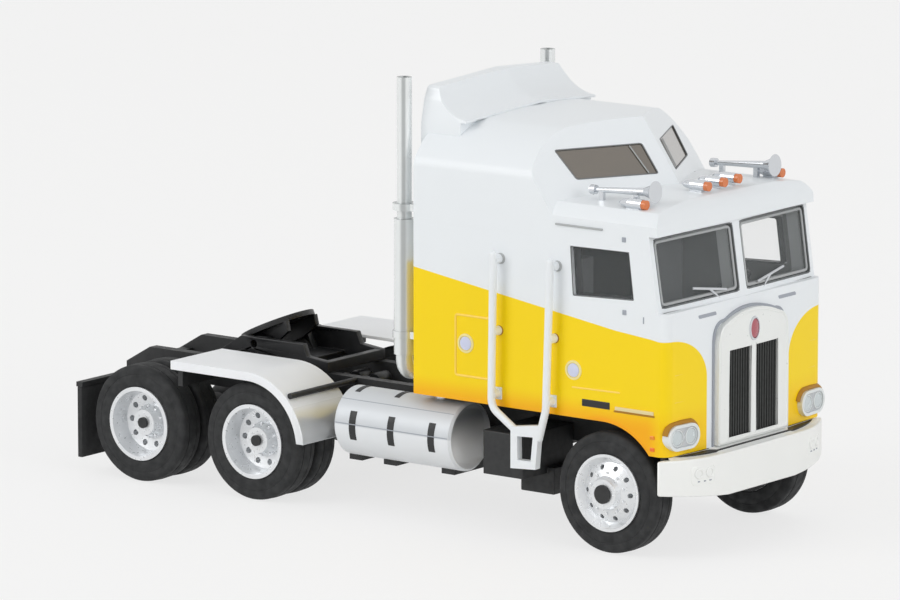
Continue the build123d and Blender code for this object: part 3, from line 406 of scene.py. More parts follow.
NODE_LOOKS = {
    "cab_shell": paint_cab, "raised_roof": paint_roof, "roof_fairing": paint_white,
    "cab_floor": interior_grey, "interior": interior_grey, "steering_wheel": black,
    "windshield": window_glass, "door_windows": door_glass, "roof_windows": roof_glass,
    "chassis_frame": black, "front_axle_carrier": black, "rear_axle_carrier": black,
    "fifth_wheel_base": black_gloss, "fifth_wheel_plate": black_gloss,
    "fender_supports": black, "mudflap_hanger": black, "mudflaps": rubber,
    "battery_box_left": black, "battery_box_right": black, "tank_brackets": black,
    "fuel_tank_left": tank_silver, "fuel_tank_right": tank_silver,
    "fender_left": fender_chrome, "fender_right": fender_chrome,
    "exhaust_stack_left": stack_chrome, "exhaust_stack_right": stack_chrome,
    "grab_rail_left": paint_white, "grab_rail_right": paint_white,
    "grille_surround": grille_silver, "grille_panels": grille_black, "bumper": bumper_silver,
    "headlamp_bezels": lamp_silver, "headlamp_lenses": lamp_glass, "wipers": silver,
    "marker_lamps": chrome, "marker_lenses": orange, "air_horns": chrome, "tail_lamps": red,
    "front_axle": black, "drive1_axle": black, "drive2_axle": black,
    "front_rims": chrome_grain, "drive1_rims": chrome_grain, "drive2_rims": chrome_grain,
    "front_tyres": rubber, "drive1_tyres": rubber, "drive2_tyres": rubber,
}
# Only these nodes have edges softened here; the others keep the normals they came with
BEVELS = {
    "cab_shell": 0.18, "raised_roof": 0.25, "roof_fairing": 0.12, "bumper": 0.15,
    "grille_surround": 0.10, "fuel_tank_left": 0.12, "fuel_tank_right": 0.12,
    "battery_box_left": 0.15, "battery_box_right": 0.15, "mudflaps": 0.10,
    "fender_left": 0.06, "fender_right": 0.06, "interior": 0.25,
    "fifth_wheel_base": 0.08, "fifth_wheel_plate": 0.08,
}
WELD_REACH = 0.002


def add_bevel(o, width, segments, degrees):
    """A bevel modifier for the edges that are sharper than an angle."""
    m = o.modifiers.new("bevel", "BEVEL")
    m.width = width * MM
    m.segments = segments
    m.limit_method = "ANGLE"
    m.angle_limit = math.radians(degrees)


def dress_node(name):
    """Give a node its material, and where it is listed, softened edges and smooth shading."""
    o = nodes[name]
    o.data.materials.clear()
    o.data.materials.append(NODE_LOOKS[name])
    if name not in BEVELS:
        return
    weld = o.modifiers.new("weld", "WELD")
    weld.merge_threshold = WELD_REACH * MM
    add_bevel(o, BEVELS[name], segments=3, degrees=28)
    for polygon in o.data.polygons:
        polygon.use_smooth = True
    flatten = o.modifiers.new("flatten", "WEIGHTED_NORMAL")
    flatten.mode = "FACE_AREA"
    flatten.weight = 60


for node_name in nodes:
    dress_node(node_name)


# Mesh helpers
def piece(name, verts, faces, material, slot, body="truck", smooth=None, bevel=0.0):
    """A mesh piece from points in millimetres, riding on a body."""
    mesh = bpy.data.meshes.new(name)
    mesh.from_pydata([row(*v) for v in verts], [], faces)
    bm = bmesh.new()
    bm.from_mesh(mesh)
    bmesh.ops.recalc_face_normals(bm, faces=bm.faces)
    bm.to_mesh(mesh)
    bm.free()
    o = bpy.data.objects.new(name, mesh)
    bpy.context.scene.collection.objects.link(o)
    mesh.materials.append(material)
    if bevel:
        add_bevel(o, bevel, segments=2, degrees=35)
    if smooth is not None:
        mesh.shade_smooth()
        mesh.set_sharp_from_angle(angle=math.radians(smooth))
    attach(o, body)
    return o


def loop_faces(rings, size, closed):
    """Four-sided faces between rings of points, each with size points, one ring after another."""
    faces = []
    for k in range(rings if closed else rings - 1):
        a = k * size
        b = ((k + 1) % rings) * size
        for i in range(size):
            j = (i + 1) % size
            faces.append((a + i, a + j, b + j, b + i))
    return faces


TINY = 1e-9


class Shape:
    """Collects points and faces of several solids for one piece."""

    def __init__(self):
        self.verts = []
        self.faces = []

    def add(self, verts, faces):
        base = len(self.verts)
        self.verts.extend(verts)
        self.faces.extend([tuple(base + i for i in f) for f in faces])

    def box(self, x0, x1, y0, y1, z0, z1):
        v = [(x, y, z) for x in (x0, x1) for y in (y0, y1) for z in (z0, z1)]
        f = [(0, 1, 3, 2), (4, 6, 7, 5), (0, 4, 5, 1), (2, 3, 7, 6), (0, 2, 6, 4), (1, 5, 7, 3)]
        self.add(v, f)

    def ring(self, rows, place, count):
        """Turn rows of (distance along the axis, radius); place maps (along, u, v) to a point."""
        verts = []
        for k in range(count):
            turn = 2 * math.pi * k / count
            for along, radius in rows:
                verts.append(place(along, radius * math.cos(turn), radius * math.sin(turn)))
        self.add(verts, loop_faces(count, len(rows), True))

    def tube(self, points, radius, sides=8, closed=False, flat=1.0):
        """A round or flattened bar through points, with mitred corners where it is closed."""
        pts = [Vector(p) for p in points]
        n = len(pts)
        verts = []
        normal = None
        for i, p in enumerate(pts):
            before = pts[i - 1] if (i > 0 or closed) else p
            after = pts[(i + 1) % n] if (i < n - 1 or closed) else p
            d_in = (p - before).normalized() if (p - before).length > TINY else None
            d_out = (after - p).normalized() if (after - p).length > TINY else None
            d_in = d_in or d_out
            d_out = d_out or d_in
            tangent = (d_in + d_out).normalized()
            if normal is None:
                normal = Vector((0, 0, 1)) if abs(tangent.z) < 0.9 else Vector((0, 1, 0))
            normal = (normal - tangent * normal.dot(tangent)).normalized()
            other = tangent.cross(normal)
            stretch = 1.0 / max(0.5, tangent.dot(d_in)) if closed else 1.0
            for k in range(sides):
                turn = 2 * math.pi * k / sides
                u = radius * math.cos(turn)
                w = radius * math.sin(turn) * flat
                verts.append(tuple(p + normal * u * stretch + other * w))
        faces = loop_faces(n, sides, closed)
        if not closed:
            faces.append(tuple(reversed(range(sides))))
            faces.append(tuple((n - 1) * sides + k for k in range(sides)))
        self.add(verts, faces)

    def prism(self, outline, offset):
        """A plate: an outline of points and its copy moved by offset."""
        n = len(outline)
        front = [tuple(p) for p in outline]
        back = [tuple(Vector(p) + Vector(offset)) for p in outline]
        faces = [tuple(range(n)), tuple(reversed(range(n, 2 * n)))]
        for i in range(n):
            j = (i + 1) % n
            faces.append((i, i + n, j + n, j))
        self.add(front + back, faces)

    def sleeve(self, outer, inner, offset):
        """A sleeve between two outlines, as deep as offset."""
        shift = Vector(offset)
        rings = (outer, inner, [p + shift for p in inner], [p + shift for p in outer])
        verts = [tuple(p) for ring in rings for p in ring]
        self.add(verts, loop_faces(len(rings), len(outer), True))

    def make(self, name, material, **options):
        return piece(name, self.verts, self.faces, material, **options)


def bend(start, corner, end, steps):
    """Points of a smooth curve from start to end that leans toward a corner."""
    out = []
    for k in range(steps + 1):
        t = k / steps
        out.append((1 - t) ** 2 * start + 2 * t * (1 - t) * corner + t ** 2 * end)
    return out


def rounded(points, radius, steps=5):
    """An outline of points with its corners rounded."""
    out = []
    n = len(points)
    for i in range(n):
        p = Vector(points[i])
        a = Vector(points[i - 1]) - p
        b = Vector(points[(i + 1) % n]) - p
        r = min(radius, a.length * 0.45, b.length * 0.45)
        out.extend(bend(p + a.normalized() * r, p, p + b.normalized() * r, steps))
    return out


def grown(corners, grow):
    """Four corners, counted round from the least of both values, each moved outward."""
    ways = ((-1, -1), (1, -1), (1, 1), (-1, 1))
    return [(a + u * grow, b + v * grow) for (a, b), (u, v) in zip(corners, ways)]


def outboard(x, y, z, side):
    """Maps (along, u, v) to a point out from (x, y, z), for a ring on that side."""
    return lambda along, u, v: (x + u, side * (y + along), z + v)


# The windscreen's two planes, as the solids have them, and its panes and the door windows
SCREEN_RAKE = math.tan(math.radians(8.6))
SCREEN_SWEEP = math.tan(math.radians(3.6))
SCREEN_FOOT_X = 6.5
SCREEN_FOOT_Z = 24.66
POST_HALF = 0.6
SCREEN_CORNERS = ((0.6, 24.75), (12.45, 24.6), (12.55, 31.2), (0.6, 31.3))
SCREEN_INSERT_DEPTH = 1.3
DOOR_CORNERS = ((-4.06, 24.9), (3.2, 25.2), (2.6, 29.85), (-4.4, 29.75))
DOOR_SEAL_Y = CAB_HALF - 0.06
DOOR_INSERT_Y = CAB_HALF - 0.52
DOOR_INSERT_DEPTH = 1.0


def screen_out(side):
    """The outward normal of one half of the windscreen."""
    return Vector((1.0, side * SCREEN_SWEEP, SCREEN_RAKE)).normalized()


def screen_outline(side, grow, out):
    """A pane's outline, grown all round and moved outward."""
    points = []
    for y, z in grown(SCREEN_CORNERS, grow):
        x = SCREEN_FOOT_X - SCREEN_RAKE * (z - SCREEN_FOOT_Z) - SCREEN_SWEEP * (abs(y) - POST_HALF)
        points.append(Vector((x, side * y, z)) + screen_out(side) * out)
    return points


def door_outline(side, grow, y):
    return [Vector((x, side * y, z)) for x, z in grown(DOOR_CORNERS, grow)]


def windshield_trim():
    seal = Shape()
    band = Shape()
    insert = Shape()
    for s in SIDES:
        edge = rounded(screen_outline(s, grow=0.02, out=0.2), radius=0.5)
        seal.tube(edge, radius=0.075, closed=True)
        edge = rounded(screen_outline(s, grow=-0.3, out=0.08), radius=0.45)
        band.tube(edge, radius=0.15, closed=True, flat=0.7)
        outer = rounded(screen_outline(s, grow=-0.10, out=-0.37), radius=0.4)
        inner = rounded(screen_outline(s, grow=-0.24, out=-0.37), radius=0.4)
        insert.sleeve(outer, inner, screen_out(s) * -SCREEN_INSERT_DEPTH)
    seal.make("windshield_gaskets", gasket, slot="grey_interior", smooth=40)
    band.make("windshield_frames", frame_grey, slot="grey_interior", smooth=40)
    insert.make("windshield_insert", frame_grey, slot="clear_plastic", smooth=40)


def door_window_trim():
    seal = Shape()
    insert = Shape()
    for s in SIDES:
        edge = rounded(door_outline(s, grow=-0.02, y=DOOR_SEAL_Y), radius=0.3)
        seal.tube(edge, radius=0.06, closed=True)
        outer = rounded(door_outline(s, grow=-0.04, y=DOOR_INSERT_Y), radius=0.25)
        inner = rounded(door_outline(s, grow=-0.16, y=DOOR_INSERT_Y), radius=0.25)
        insert.sleeve(outer, inner, (0, -s * DOOR_INSERT_DEPTH, 0))
    seal.make("door_window_gaskets", gasket, slot="grey_interior", smooth=40)
    insert.make("door_window_insert", black, slot="clear_plastic", smooth=40)


# The raised roof's front windows lie on two more planes
PROW_FOOT_X = -0.75
PROW_FOOT_Z = 34.2
PROW_NORMAL = (0.7477, 0.3972, 0.5324)
ROOF_WINDOW_CORNERS = ((1.45, 35.45), (9.2, 35.45), (9.8, 38.15), (1.5, 38.2))
ROOF_STRIP_ENDS = ((2.3, 35.55), (2.75, 38.05))


def prow_point(y, z, out=0.0):
    nx, ny, nz = PROW_NORMAL
    x = PROW_FOOT_X - (ny * abs(y) + nz * (z - PROW_FOOT_Z)) / nx
    side = 1 if y > 0 else -1
    return Vector((x + nx * out, y + side * ny * out, z + nz * out))


def roof_window_frames():
    frames = Shape()
    strips = Shape()
    for s in SIDES:
        outline = [prow_point(s * y, z, out=-0.02) for y, z in ROOF_WINDOW_CORNERS]
        frames.tube(rounded(outline, radius=0.25), radius=0.065, closed=True)
        strips.tube([prow_point(s * y, z) for y, z in ROOF_STRIP_ENDS], radius=0.07, sides=6)
    frames.make("roof_window_frames", gasket, slot="tinted_plastic", smooth=40)
    strips.make("roof_window_strips", frame_grey, slot="tinted_plastic", smooth=40)


# Fittings start a little inside the cab's wall
WALL_Y = CAB_HALF - 0.05
DISC_STEPS = 28
# Slabs on the wall: from x0 to x1, from z0 to z1, and how far they stand out
GUTTER = (-6.1, -0.5, 31.62, 31.8, 0.16)
HINGES = ((1.78, 2.22, 30.76, 31.24, 0.08), (1.88, 2.32, 23.71, 24.19, 0.08))
DOOR_CHECK = (4.3, 4.42, 23.1, 23.75, 0.06)
HANDLE = (-2.9, 0.4, 14.25, 14.95, 0.05)
TRIM = (1.05, 5.6, 14.3, 14.66, 0.10)
# Painted shadow: a dark strip under the trim
TRIM_SHADOW = (0.9, 5.7, 14.1, 14.27, 0.06)
UPPER_MARKER = (5.2, 5.72, 11.95, 12.3, 0.09)
LOWER_MARKER = (5.2, 5.72, 10.8, 11.15, 0.09)
RAIL_PADS = ((-13.48, -12.53, 13.7, 14.9, 0.14), (-6.87, -5.92, 13.7, 14.9, 0.14))
# Points on the wall, as (x, z)
CREASE_ENDS = ((-4.1, 15.95), (1.6, 16.05))
HATCH_CORNERS = ((-18.2, 15.5), (-13.5, 15.5), (-13.5, 21.5), (-18.2, 21.5))
BADGE_PLACES = ((-16.97, 18.73), (-3.94, 17.63))
# Painted shadow: dark discs at the grab rails' middle feet
FOOT_SHADOW_PLACES = ((-12.87, 20.5), (-6.14, 20.5))
BOSS_PLACES = ((-12.72, 27.6), (-5.87, 27.6))
BADGE_RIM = ((-0.05, 1.0), (0.08, 0.94), (0.1, 0.76), (-0.05, 0.7))


def side_slabs(name, material, slabs, **options):
    shape = Shape()
    for s in SIDES:
        for x0, x1, z0, z1, out in slabs:
            shape.box(x0, x1, s * WALL_Y, s * (CAB_HALF + out), z0, z1)
    shape.make(name, material, **options)


def side_discs(name, material, places, radius, rise, slot):
    """Low domed discs standing out from the cab's sides."""
    sunk = CAB_HALF - WALL_Y
    rows = ((0.0, radius), (sunk + rise * 0.6, radius * 0.96), (sunk + rise, radius * 0.75),
            (sunk + rise * 1.1, 0.02), (0.0, 0.02))
    shape = Shape()
    for s in SIDES:
        for x, z in places:
            shape.ring(rows, outboard(x, WALL_Y, z, s), DISC_STEPS)
    shape.make(name, material, slot=slot, smooth=40)


# The side creases and the hatch bead are lighter than the paint: a painted highlight
def side_beads():
    creases = Shape()
    hatch = Shape()
    for s in SIDES:
        creases.tube([(x, s * WALL_Y, z) for x, z in CREASE_ENDS], radius=0.11)
        points = [Vector((x, s * (CAB_HALF - 0.02), z)) for x, z in HATCH_CORNERS]
        hatch.tube(rounded(points, radius=0.3), radius=0.13, closed=True)
    creases.make("side_creases", bead_highlight, slot="white_body", smooth=40)
    hatch.make("hatch_beads", bead_highlight, slot="white_body", smooth=40)


def side_badges():
    side_discs("side_discs", badge_blue, BADGE_PLACES, radius=0.7, rise=0.1,
               slot="silver_plastic")
    rims = Shape()
    for s in SIDES:
        for x, z in BADGE_PLACES:
            rims.ring(BADGE_RIM, outboard(x, CAB_HALF, z, s), DISC_STEPS)
    rims.make("side_disc_rims", disc_rim, slot="silver_plastic", smooth=40)


def side_fittings():
    side_slabs("rain_gutters", frame_grey, (GUTTER,), slot="white_body", bevel=0.04)
    side_slabs("door_hinges", seam_grey, (*HINGES, DOOR_CHECK), slot="white_body", bevel=0.04)
    side_slabs("door_handles", black_gloss, (HANDLE,), slot="black_plastic", bevel=0.05)
    side_slabs("side_trims", trim_beige, (TRIM,), slot="white_body", bevel=0.05)
    # The strip under the trim is painted shadow
    side_slabs("side_trim_shadows", paint_shadow, (TRIM_SHADOW,), slot="black_plastic", bevel=0.02)
    side_beads()
    side_badges()
    side_slabs("side_markers_upper", side_amber, (UPPER_MARKER,), slot="orange_plastic", bevel=0.05)
    side_slabs("side_markers_lower", side_red, (LOWER_MARKER,), slot="red_plastic", bevel=0.05)
    side_slabs("rail_pads", pad_white, RAIL_PADS, slot="white_body", bevel=0.06)
    # The discs at the rails' middle feet are painted shadow
    side_discs("rail_foot_shadows", paint_shadow, FOOT_SHADOW_PLACES, radius=0.5, rise=0.06,
               slot="black_plastic")
    side_discs("rail_bosses", frame_grey, BOSS_PLACES, radius=0.55, rise=0.12, slot="white_body")


# The grille's plate, its two panels and its badge
PLATE_FACE_X = 8.02
PLATE_BACK_X = 7.0
PLATE_HALF = 5.85
PLATE_FOOT_Z = 10.45
PLATE_BEND_Z = 20.3
PLATE_TOP_Z = 22.4
PLATE_TOP_HALF = 4.1
PLATE_CROWN_Z = 23.2
PLATE_STEPS = 10
PLATE_GAP_DEPTH = 0.54
PANEL_INNER_Y = 0.385
PANEL_OUTER_Y = 4.13
PANEL_LOW_Z = 10.9
PANEL_HIGH_Z = 19.6
PANEL_RIM_X = 8.03
SLATS = 9
SLAT_X = (7.70, 7.86)
SLAT_HALF = 0.09
SLAT_INSET = 0.05
BADGE_Z = 21.15
BADGE_NARROW = 0.68
BADGE_ROWS = ((0.0, 0.95), (0.12, 0.92), (0.2, 0.6), (0.22, 0.02), (0.0, 0.02))
BADGE_RIM_ROWS = ((0.0, 1.22), (0.16, 1.16), (0.18, 1.0), (0.0, 0.94))


def grille_outline(shrink, x):
    """The plate's outline: straight sides, rounded corners and a low crown."""
    half = PLATE_HALF - shrink
    start = Vector((half, PLATE_BEND_Z))
    corner = Vector((half, PLATE_TOP_Z - shrink))
    end = Vector((PLATE_TOP_HALF - shrink * 0.6, PLATE_TOP_Z - shrink))
    points = [(half, PLATE_FOOT_Z + shrink)]
    points.extend(tuple(p) for p in bend(start, corner, end, PLATE_STEPS))
    for k in range(1, PLATE_STEPS):
        y = end.x * (1 - k / PLATE_STEPS)
        rise = (PLATE_CROWN_Z - PLATE_TOP_Z) * (1 - (y / end.x) ** 2)
        points.append((y, end.y + rise))
    left = [(-y, z) for y, z in reversed(points)]
    return [Vector((x, y, z)) for y, z in points + [(0.0, PLATE_CROWN_Z - shrink)] + left]


def grille_frame():
    rim = Shape()
    edge = grille_outline(shrink=0.22, x=PLATE_FACE_X)
    rim.tube(edge, radius=0.15, closed=True, flat=0.8)
    rim.make("grille_rim", grille_silver, slot="chrome_trim", smooth=50)
    gap = Shape()
    outer = grille_outline(shrink=-0.24, x=PLATE_BACK_X)
    inner = grille_outline(shrink=0.02, x=PLATE_BACK_X)
    gap.sleeve(outer, inner, (PLATE_GAP_DEPTH, 0, 0))
    gap.make("grille_gap", seam_grey, slot="silver_plastic")


def grille_panel_trim():
    slats = Shape()
    rims = Shape()
    corners = ((PANEL_INNER_Y, PANEL_LOW_Z), (PANEL_OUTER_Y, PANEL_LOW_Z),
               (PANEL_OUTER_Y, PANEL_HIGH_Z), (PANEL_INNER_Y, PANEL_HIGH_Z))
    for s in SIDES:
        for k in range(SLATS):
            y = s * (PANEL_INNER_Y + (PANEL_OUTER_Y - PANEL_INNER_Y) * (k + 0.5) / SLATS)
            slats.box(*SLAT_X, y - SLAT_HALF, y + SLAT_HALF,
                      PANEL_LOW_Z + SLAT_INSET, PANEL_HIGH_Z - SLAT_INSET)
        rims.tube([(PANEL_RIM_X, s * y, z) for y, z in corners], radius=0.07, closed=True)
    slats.make("grille_slats", grille_black, slot="black_plastic", bevel=0.03)
    rims.make("grille_panel_rims", grille_silver, slot="chrome_trim", smooth=50)


def grille_badge():
    def oval(along, u, v):
        return (PLATE_FACE_X + along, u * BADGE_NARROW, BADGE_Z + v)

    badge = Shape()
    badge.ring(BADGE_ROWS, oval, count=32)
    badge.make("grille_badge", enamel, slot="red_plastic", smooth=40)
    rim = Shape()
    rim.ring(BADGE_RIM_ROWS, oval, count=32)
    rim.make("grille_badge_rim", chrome, slot="chrome_trim", smooth=40)


# The cowl's vents lie on its slope, and the creases on the front beside the grille
NOSE_SLOPE = Vector((-0.328, 0.0, 0.945))
NOSE_OUT = Vector((NOSE_SLOPE.z, 0.0, -NOSE_SLOPE.x))
VENT_PLACE = (7.2, 6.7, 23.3)
VENT_CORNERS = ((-1.5, -0.2), (1.5, -0.2), (1.5, 0.2), (-1.5, 0.2))
VENT_RISE = 0.06
FRONT_CREASE_Z = (18.15, 15.5)
FRONT_CREASE_ENDS = ((7.28, 7.2), (7.06, 11.8))


def nose_fittings():
    vents = Shape()
    creases = Shape()
    for s in SIDES:
        x, y, z = VENT_PLACE
        corners = [Vector((x, s * y + a, z)) + NOSE_SLOPE * b for a, b in VENT_CORNERS]
        vents.prism(rounded(corners, radius=0.18, steps=4), NOSE_OUT * VENT_RISE)
        for crease_z in FRONT_CREASE_Z:
            ends = [(cx, s * cy, crease_z) for cx, cy in FRONT_CREASE_ENDS]
            creases.tube(ends, radius=0.07)
    vents.make("cowl_vents", seam_grey, slot="black_plastic", bevel=0.03)
    # The front creases take the lighter yellow of a painted highlight
    creases.make("front_creases", bead_highlight, slot="white_body", smooth=40)


# Twin headlamps, turned outward with the cab's corner
LAMP_X = 7.0
LAMP_Y = 10.8
LAMP_Z = 12.1
LAMP_TURN = math.radians(5.0)
BULB_REACH = 1.0
BULB_ROWS = ((0.46, 0.72), (0.55, 0.68), (0.62, 0.4), (0.64, 0.02), (0.46, 0.02))
BULB_RING_ROWS = ((0.46, 0.86), (0.6, 0.84), (0.62, 0.76), (0.46, 0.72))
BROW_R = 1.36
BROW_OUT = 0.12
BROW_STEPS = 12


def lamp_point(side, along, across, up):
    """A point of the headlamp's own frame: along forward, across outboard, up."""
    x = LAMP_X + along * math.cos(LAMP_TURN) - across * math.sin(LAMP_TURN)
    y = LAMP_Y + along * math.sin(LAMP_TURN) + across * math.cos(LAMP_TURN)
    return Vector((x, side * y, LAMP_Z + up))


def brow_line(side):
    """Over both bulbs: a quarter circle round each, and level between them."""
    points = []
    for k in range(1, BROW_STEPS):
        turn = math.pi * k / BROW_STEPS
        bulb = (k < BROW_STEPS / 2) - (k > BROW_STEPS / 2)
        across = bulb * BULB_REACH + BROW_R * math.cos(turn)
        points.append(lamp_point(side, BROW_OUT, across, BROW_R * math.sin(turn)))
    return points


def headlamp_fittings():
    bulbs = Shape()
    rings = Shape()
    brow_shadows = Shape()
    for s in SIDES:
        for middle in (-BULB_REACH, BULB_REACH):
            def place(along, u, v, side=s, middle=middle):
                return tuple(lamp_point(side, along, middle + u, v))

            bulbs.ring(BULB_ROWS, place, count=24)
            rings.ring(BULB_RING_ROWS, place, count=24)
        # Painted shadow: a dark strip over the bulbs, where the lamps stand out from the cab
        brow_shadows.tube(brow_line(s), radius=0.3)
    bulbs.make("headlamp_reflectors", lamp_glow, slot="clear_plastic", smooth=40)
    rings.make("headlamp_rings", lamp_silver, slot="chrome_trim", smooth=40)
    brow_shadows.make("headlamp_brow_shadows", paint_shadow, slot="white_body", smooth=40)


# The bumper's front from above, as (x, y): flat, then an arc through three points
BUMPER_FLAT = 6.5
BUMPER_FRONT = 9.2
BUMPER_ARC = ((BUMPER_FRONT, BUMPER_FLAT), (8.58, 10.2), (6.7, 13.65))
# Places on that front, as (y, z)
BEAD_CORNERS = ((7.9, 7.4), (10.7, 7.4), (10.7, 9.2), (7.9, 9.2))
HOOK_PLACES = ((8.6, 8.5), (9.9, 8.5))
HOOK_R = 0.42
HOOK_STEPS = 16
BOLT_PLACES = ((8.5, 7.72), (9.2, 7.72), (9.9, 7.72))
BOLT_HALF_Y = 0.15
BOLT_HALF_Z = 0.06
BOLT_X = (-0.1, 0.03)
# The ledge between the bumper's top and the grille's foot
SHELF_HALF = 12.5
SHELF_SPANS = 30
SHELF_FLAT = 6.0
SHELF_FRONT_Z = 9.9
SHELF_BACK_X = 7.42
SHELF_BACK_SWEEP = 0.08
SHELF_BACK_Z = 10.42
SHELF_BACK_Z_OUTBOARD = 10.22
SHELF_THICK = 0.08


def circle_through(a, b, c):
    """Centre and radius of the circle through three flat points."""
    (ax, ay), (bx, by), (cx, cy) = a, b, c
    d = 2 * (ax * (by - cy) + bx * (cy - ay) + cx * (ay - by))
    sa = ax * ax + ay * ay
    sb = bx * bx + by * by
    sc = cx * cx + cy * cy
    ux = (sa * (by - cy) + sb * (cy - ay) + sc * (ay - by)) / d
    uy = (sa * (cx - bx) + sb * (ax - cx) + sc * (bx - ax)) / d
    return ux, uy, math.hypot(ax - ux, ay - uy)


BUMPER_CENTRE_X, BUMPER_CENTRE_Y, BUMPER_R = circle_through(*BUMPER_ARC)


def bumper_point(y, z, out=0.0):
    if abs(y) <= BUMPER_FLAT:
        return Vector((BUMPER_FRONT + out, y, z))
    reach = abs(y) - BUMPER_CENTRE_Y
    x = BUMPER_CENTRE_X + math.sqrt(BUMPER_R ** 2 - reach ** 2)
    return Vector((x + out, y, z))


def bumper_fittings():
    beads = Shape()
    hooks = Shape()
    bolts = Shape()
    for s in SIDES:
        flat = rounded(BEAD_CORNERS, radius=0.5, steps=4)
        bead = [bumper_point(s * p.x, p.y, out=-0.05) for p in flat]
        beads.tube(bead, radius=0.09, sides=6, closed=True)
        for y, z in HOOK_PLACES:
            loop = []
            for k in range(HOOK_STEPS):
                turn = 2 * math.pi * k / HOOK_STEPS
                across = HOOK_R * math.cos(turn)
                loop.append(bumper_point(s * (y + across), z + HOOK_R * math.sin(turn)))
            hooks.tube(loop, radius=0.12, closed=True)
        for y, z in BOLT_PLACES:
            p = bumper_point(s * y, z)
            bolts.box(p.x + BOLT_X[0], p.x + BOLT_X[1], p.y - BOLT_HALF_Y, p.y + BOLT_HALF_Y,
                      p.z - BOLT_HALF_Z, p.z + BOLT_HALF_Z)
    beads.make("bumper_beads", bumper_silver, slot="silver_plastic", smooth=50)
    hooks.make("bumper_hooks", bumper_silver, slot="silver_plastic", smooth=50)
    bolts.make("bumper_bolts", seam_grey, slot="silver_plastic")


def bumper_shelf():
    """The pale ledge that fills the space between the bumper's top and the grille's foot."""
    shelf = Shape()
    rows = []
    for k in range(SHELF_SPANS + 1):
        y = -SHELF_HALF + 2 * SHELF_HALF * k / SHELF_SPANS
        outboard_by = max(0.0, abs(y) - SHELF_FLAT)
        back_z = SHELF_BACK_Z if abs(y) < SHELF_FLAT else SHELF_BACK_Z_OUTBOARD
        back = Vector((SHELF_BACK_X - SHELF_BACK_SWEEP * outboard_by, y, back_z))
        rows.append((bumper_point(y, SHELF_FRONT_Z, out=-0.15), back))
    for (a, b), (c, d) in zip(rows, rows[1:]):
        shelf.prism((a, b, d, c), (0, 0, -SHELF_THICK))
    shelf.make("bumper_shelf", bumper_silver, slot="silver_plastic")


# The fuel tanks' axis, and what lies on them: stations with half widths, and angles in degrees
# round the tank, where 0 is its outermost line
TANK_Y = 10.7
TANK_Z = 8.9
TANK_R = 3.45
SLOT_X = (-30.3, -25.55, -20.53)
SLOT_HALF = 0.4
SLOT_ARC = (-22, 27)
STRAP_X = (-31.2, -26.3)
STRAP_HALF = 0.3
STRAP_ARC = (66, 104)
TANK_SPAN = (-32.4, -18.5)
SIDE_SEAM_ARC = (4.0, 5.4)
TOP_SEAM_ARC = (47.0, 48.0)
CAP_X = -21.7
CAP_ROWS = ((0.1, 0.66), (0.4, 0.64), (0.46, 0.5), (0.46, 0.02), (0.1, 0.02))


def tank_patch(shape, side, span, arc, out, steps=10):
    """A thin patch on the tank, over a span of stations and an arc of angles."""
    outer = []
    inner = []
    for k in range(steps + 1):
        turn = math.radians(arc[0] + (arc[1] - arc[0]) * k / steps)
        for ring, radius in ((outer, TANK_R + out), (inner, TANK_R - 0.1)):
            y = side * (TANK_Y + radius * math.cos(turn))
            ring.append(Vector((span[0], y, TANK_Z + radius * math.sin(turn))))
    shape.prism(outer + inner[::-1], (span[1] - span[0], 0, 0))


def tank_fittings():
    slots = Shape()
    seams = Shape()
    caps = Shape()
    for s in SIDES:
        for x in SLOT_X:
            tank_patch(slots, s, (x - SLOT_HALF, x + SLOT_HALF), SLOT_ARC, out=0.03)
        for x in STRAP_X:
            tank_patch(slots, s, (x - STRAP_HALF, x + STRAP_HALF), STRAP_ARC, out=0.03)
        tank_patch(seams, s, TANK_SPAN, SIDE_SEAM_ARC, out=0.035, steps=2)
        tank_patch(seams, s, TANK_SPAN, TOP_SEAM_ARC, out=0.02, steps=2)

        def cap_place(along, u, v, side=s):
            return (CAP_X + u, side * TANK_Y + v, TANK_Z + TANK_R + along)

        caps.ring(CAP_ROWS, cap_place, count=20)
    slots.make("tank_slots", black, slot="black_plastic")
    seams.make("tank_seams", seam_grey, slot="silver_plastic")
    caps.make("tank_caps", chrome, slot="chrome_trim", smooth=40)


# Guessed fittings of the chassis
AIR_TANK_X = (-41.4, -39.0)
AIR_TANK_Y = 1.2
AIR_TANK_Z = 10.1
AIR_TANK_ROWS = ((-0.6, 0.02), (-0.6, 0.8), (-0.45, 0.92), (1.3, 0.92), (1.45, 0.8), (1.45, 0.02))
RAIL_BOLTS = 16
RAIL_BOLT_FIRST_X = -64.5
RAIL_BOLT_PITCH = 2.6
RAIL_BOLT_HALF = 0.12
RAIL_BOLT_Y = (4.65, 4.8)
RAIL_BOLT_Z = (9.7, 9.95)


def chassis_fittings():
    """Four air tanks between the rails and a row of bolts along each rail."""
    tanks = Shape()
    bolts = Shape()
    for s in SIDES:
        for x in AIR_TANK_X:
            tanks.ring(AIR_TANK_ROWS, outboard(x, AIR_TANK_Y, AIR_TANK_Z, s), count=20)
        for k in range(RAIL_BOLTS):
            x = RAIL_BOLT_FIRST_X + k * RAIL_BOLT_PITCH
            y0, y1 = RAIL_BOLT_Y
            bolts.box(x - RAIL_BOLT_HALF, x + RAIL_BOLT_HALF, s * y0, s * y1, *RAIL_BOLT_Z)
    tanks.make("air_tanks", black_gloss, slot="black_plastic", smooth=40)
    bolts.make("frame_bolts", black_gloss, slot="black_plastic")


windshield_trim()
door_window_trim()
roof_window_frames()
side_fittings()
grille_frame()
grille_panel_trim()
grille_badge()
nose_fittings()
headlamp_fittings()
bumper_fittings()
bumper_shelf()
tank_fittings()
chassis_fittings()


